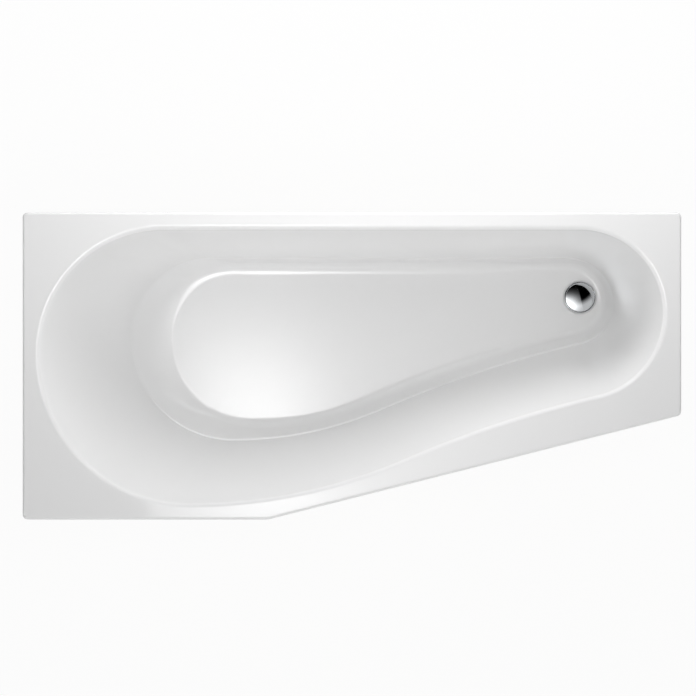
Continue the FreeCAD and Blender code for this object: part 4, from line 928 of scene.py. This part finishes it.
def buildTrap(material):
    # bent tube down from the waste, round, up and out, with its collar, cleaning neck, cap and union nut;
    # the seam is the parting line of the mould
    trap = {"radius": 0.020, "bore": 0.018, "top": 0.117, "collar": 0.0235, "collarBore": 0.0185, "collarHeight": 0.004,
            "collarSoft": (0, 0.0006, 0.0006, 0), "turnLevel": 0.084, "turn": 0.034, "riser": 0.004, "elbow": 0.030,
            "outlet": 0.050, "lip": 0.0008, "lipSoft": 0.0006, "seam": 0.00025, "columns": 64,
            "turnSteps": 36, "elbowSteps": 18, "neck": 0.014, "neckBore": 0.010, "neckBottom": 0.019,
            "neckTop": (0.036, 0.031), "neckSoft": (0.0004, 0.0008, 0, 0), "sharp": 50}
    x, y = waste["x"], waste["y"]
    path = [(Vector((x, y, trap["top"])), Vector((0, 0, -1)))]
    for centreX, level, radius, steps, start, sweep in (
            (x + trap["turn"], trap["turnLevel"], trap["turn"], trap["turnSteps"], math.pi, math.pi),
            (x + 2 * trap["turn"] + trap["elbow"], trap["turnLevel"] + trap["riser"], trap["elbow"],
             trap["elbowSteps"], math.pi, -math.pi / 2)):
        for i in range(steps + 1):
            angle = start + sweep * i / steps
            along = Vector((-math.sin(angle), 0, math.cos(angle))) * math.copysign(1, sweep)
            path.append((Vector((centreX + radius * math.cos(angle), y, level + radius * math.sin(angle))), along))
    end = path[-1][0] + Vector((trap["outlet"] - trap["lip"], 0, 0))
    path.append((end, Vector((1, 0, 0))))
    bm = bmesh.new()
    outside = tube(bm, path, trap["radius"], trap["columns"], trap["seam"])
    inside = tube(bm, path, trap["bore"], trap["columns"])
    lip = addSkin(bm, [[v.co + Vector((trap["lip"], 0, 0)) + (v.co - end).normalized() * off for v in ring]
                       for ring, off in ((outside[-1], -trap["lipSoft"]), (inside[-1], trap["lipSoft"]))])
    for a, b in ((outside[-1], lip[0]), (lip[1], inside[-1]), (inside[0], outside[0])):
        addStrip(bm, a, b)
    foot = trap["top"] - trap["collarHeight"]
    collar = [(trap["collarBore"], foot), (trap["collar"], foot), (trap["collar"], trap["top"]),
              (trap["collarBore"], trap["top"])]
    lathe(softened(collar, trap["collarSoft"]), x, y, trap["columns"], bm=bm)
    neck = [(trap["neckBore"], trap["neckBottom"]), (trap["neck"], trap["neckBottom"]),
            (trap["neck"], trap["neckTop"][0]), (trap["neckBore"], trap["neckTop"][1])]
    lathe(softened(neck, trap["neckSoft"]), x + trap["turn"], y, trap["columns"], bm=bm)
    newPiece("trapBody", finishMesh(bm, trap["sharp"]), "trap", material, ["trap_body"])

    union = {"radius": 0.030, "bore": 0.0205, "thread": 0.0242, "low": 0.109, "high": 0.135, "shoulder": 0.113,
             "ribs": 8, "ribHalf": 0.0017, "ribSoft": 0.0013, "ribDepth": 0.002, "ribRim": 0.0012,
             "soft": (0.0006, 0.0018, 0.0012, 0.0008, 0, 0), "columns": 240}
    profile = [(union[radius], union[level]) for radius, level in (
        ("bore", "low"), ("radius", "low"), ("radius", "high"),
        ("thread", "high"), ("thread", "shoulder"), ("bore", "shoulder"))]
    bm = lathe(softened(profile, union["soft"]), x, y, union["columns"], shape=grip(union))
    newPiece("unionNut", finishMesh(bm, trap["sharp"]), "bath", material, ["trap_union_nut"])

    cap = {"axis": 0, "radius": 0.018, "bore": 0.0143, "low": 0.014, "high": 0.029, "floor": 0.017,
           "ribs": 6, "ribHalf": 0.0011, "ribSoft": 0.0009, "ribDepth": 0.0015, "ribRim": 0.0012,
           "soft": (0, 0.0014, 0.0008, 0.0006, 0, 0), "columns": 180}
    profile = [(cap[radius], cap[level]) for radius, level in (
        ("axis", "low"), ("radius", "low"), ("radius", "high"),
        ("bore", "high"), ("bore", "floor"), ("axis", "floor"))]
    bm = lathe(softened(profile, cap["soft"]), x + trap["turn"], y, cap["columns"], closed=False, shape=grip(cap))
    newPiece("cleaningCap", finishMesh(bm, trap["sharp"]), "trap", material, ["cleaning_cap"])


buildTrap(whitePlastic)
print("trap built")

# solids that stay as the CAD model has them
kept = {
    "base_board": chipboard, "head_rail": galvanised, "foot_rail": galvanised,
    "flange_seal": rubber, "under_seal": rubber, "plug_seal": rubber, "trap_washer": rubber,
    "cleaning_cap_seal": rubber, "click_cartridge": brass, "plug_plunger": brass,
}
for name, finish in kept.items():
    bpy.data.objects[name].material_slots[0].material = finish
print("finishes on", len(kept), "kept solids")


def buildStage():
    # white floor and surround: seen as white directly and in gloss, and the floor keeps part of the shadow
    stage = {"reach": 6.0, "level": -0.0005, "floor": "#F4F4F4", "roughness": 0.9, "glow": 0.94}
    mesh = bpy.data.meshes.new("floor")
    reach = stage["reach"]
    corners = [(x, y, stage["level"]) for x, y in ((-reach, -reach), (reach, -reach), (reach, reach), (-reach, reach))]
    mesh.from_pydata(corners, [], [range(len(corners))])
    floor = bpy.data.objects.new("floor", mesh)
    bpy.context.scene.collection.objects.link(floor)
    paper = bpy.data.materials.new("white paper floor")
    paper.use_nodes = True
    tree = paper.node_tree
    shader = tree.nodes["Principled BSDF"]
    setInputs(tree, shader, {"Base Color": linear(stage["floor"]), "Roughness": stage["roughness"]})
    rays = addNode(tree, "ShaderNodeLightPath").outputs
    seen = rays["Is Camera Ray"]
    for operation, other in (("MAXIMUM", rays["Is Glossy Ray"]), ("MAXIMUM", rays["Is Transmission Ray"]),
                             ("MULTIPLY", stage["glow"])):
        seen = addNode(tree, "ShaderNodeMath", {"operation": operation}, {0: seen, 1: other}).outputs[0]
    glow = addNode(tree, "ShaderNodeEmission", {}, {"Color": (1, 1, 1, 1), "Strength": 1.0})
    mix = addNode(tree, "ShaderNodeMixShader", {}, {
        0: seen, 1: shader.outputs["BSDF"], 2: glow.outputs["Emission"]})
    # from underneath it is clear, so that the underside can be seen
    clear = addNode(tree, "ShaderNodeBsdfTransparent")
    behind = addNode(tree, "ShaderNodeNewGeometry").outputs["Backfacing"]
    sides = addNode(tree, "ShaderNodeMixShader", {}, {0: behind, 1: mix.outputs[0], 2: clear.outputs[0]})
    setInputs(tree, tree.nodes["Material Output"], {"Surface": sides.outputs[0]})
    mesh.materials.append(paper)


def buildLight():
    # the key is one overhead softbox in two layers, brightest at one spot, and its slanting left edge shows in the rim;
    # a bank and a strip behind the bath light the back of the rim and the front wall
    key = {"slantDegrees": 13.6, "edge": (-0.6715, -0.010, 2.57), "size": (1.4, 1.5), "slide": -0.25, "layerGap": 0.01}
    slant = math.radians(key["slantDegrees"])
    along, aside = Vector((math.cos(slant), math.sin(slant), 0)), Vector((-math.sin(slant), math.cos(slant), 0))
    middle = Vector(key["edge"]) + along * key["size"][0] / 2 + aside * key["slide"]
    lamps = (
        {"name": "keySoftbox", "at": middle, "size": key["size"], "turn": slant,
         "spot": (-0.34, -0.16), "fade": (0.46, 0.30), "level": 3.8},
        {"name": "keyHead", "at": middle - Vector((0, 0, key["layerGap"])), "size": key["size"], "turn": slant,
         "spot": (-0.34, -0.03), "fade": (0.15, 0.20), "level": 7.0},
        {"name": "backBank", "at": Vector((0.10, 1.50, 1.10)), "size": (2.2, 0.8),
         "toward": Vector((0.05, 0.20, 0.50)), "level": 3.1},
        {"name": "backStrip", "at": Vector((0.10, 0.75, 1.30)), "size": (1.4, 0.3),
         "toward": Vector((0.10, 0.30, 0.50)), "spot": (0, 0), "fade": (0.45, 1.0), "level": 2.5},
    )
    for lamp in lamps:
        width, height = lamp["size"]
        data = bpy.data.lights.new(lamp["name"], "AREA")
        data.shape = "RECTANGLE"
        data.size, data.size_y = width, height
        data.energy = lamp["level"] * math.pi * width * height
        item = bpy.data.objects.new(lamp["name"], data)
        item.location = lamp["at"]
        if "toward" in lamp:
            item.rotation_euler = (lamp["toward"] - lamp["at"]).to_track_quat("-Z", "Y").to_euler()
        else:
            item.rotation_euler = (0, 0, lamp["turn"])
        if "spot" in lamp:
            # a bell curve round the spot, as wide each way as the fade
            data.use_nodes = True
            tree = data.node_tree
            place = addNode(tree, "ShaderNodeNewGeometry").outputs["Parametric"]
            off = addNode(tree, "ShaderNodeVectorMath", {"operation": "SUBTRACT"}, {
                0: place, 1: (lamp["spot"][0] / width + 0.5, lamp["spot"][1] / height + 0.5, 0)})
            scaled = addNode(tree, "ShaderNodeVectorMath", {"operation": "MULTIPLY"}, {
                0: off.outputs[0], 1: (width / lamp["fade"][0], height / lamp["fade"][1], 0)}).outputs[0]
            square = addNode(tree, "ShaderNodeVectorMath", {"operation": "DOT_PRODUCT"}, {0: scaled, 1: scaled})
            half = addNode(tree, "ShaderNodeMath", {"operation": "MULTIPLY"}, {0: square.outputs["Value"], 1: -0.5})
            fall = addNode(tree, "ShaderNodeMath", {"operation": "EXPONENT"}, {0: half.outputs[0]})
            setInputs(tree, tree.nodes["Emission"], {"Strength": fall.outputs[0]})
        item.visible_camera = False
        bpy.context.scene.collection.objects.link(item)

    # room: a white backdrop all round at floor level, a light wall in front, a grey ceiling that is dark over the back
    room = {"backdrop": (0.06, 0.18), "wall": (0.25, 0.45), "wallLevel": 1.4, "front": (-0.25, -0.80),
            "ceiling": (0.72, 0.86), "ceilingLevel": 0.8, "darkToward": (-0.05, 0.34, 0.939), "dark": (0.85, 0.92)}
    world = bpy.data.worlds.new("studio")
    bpy.context.scene.world = world
    world.use_nodes = True
    tree = world.node_tree
    place = addNode(tree, "ShaderNodeTexCoord").outputs["Generated"]
    parts = addNode(tree, "ShaderNodeSeparateXYZ", {}, {0: place}).outputs
    toDark = addNode(tree, "ShaderNodeVectorMath", {"operation": "DOT_PRODUCT"}, {0: place, 1: room["darkToward"]})
    # seen straight on, as when looking up through the floor, the room is plain white
    found = {"seen": addNode(tree, "ShaderNodeLightPath").outputs["Is Camera Ray"]}
    for name, value, low, high in (
            ("backdrop", parts["Z"], 1.0, 0.0), ("wall", parts["Z"], 0.0, room["wallLevel"]),
            ("front", parts["Y"], 0.0, 1.0), ("ceiling", parts["Z"], 0.0, 1.0),
            ("dark", toDark.outputs["Value"], room["ceilingLevel"], 0.0)):
        found[name] = addNode(tree, "ShaderNodeMapRange", {"interpolation_type": "SMOOTHSTEP"}, {
            "Value": value, "From Min": room[name][0], "From Max": room[name][1],
            "To Min": low, "To Max": high}).outputs["Result"]
    for name, operation, first, second in (
            ("above", "MULTIPLY", "ceiling", "dark"), ("before", "MULTIPLY", "wall", "front"),
            ("level", "MAXIMUM", "above", "before"), ("level", "MAXIMUM", "level", "backdrop"),
            ("level", "MAXIMUM", "level", "seen")):
        found[name] = addNode(tree, "ShaderNodeMath", {"operation": operation}, {
            0: found[first], 1: found[second]}).outputs[0]
    setInputs(tree, tree.nodes["Background"], {"Strength": found["level"], "Color": (1, 1, 1, 1)})


def buildCamera():
    view = {"at": (-0.009, 0.041, 8.57), "lens": 181.8, "sensor": 36.0, "farthest": 100.0}
    data = bpy.data.cameras.new("camera")
    data.lens, data.sensor_width = view["lens"], view["sensor"]
    data.clip_end = view["farthest"]
    camera = bpy.data.objects.new("camera", data)
    camera.location = view["at"]
    bpy.context.scene.collection.objects.link(camera)
    bpy.context.scene.camera = camera


buildStage()
buildLight()
buildCamera()
bpy.context.scene.view_settings.view_transform = "Standard"
print("stage, light and camera ready")
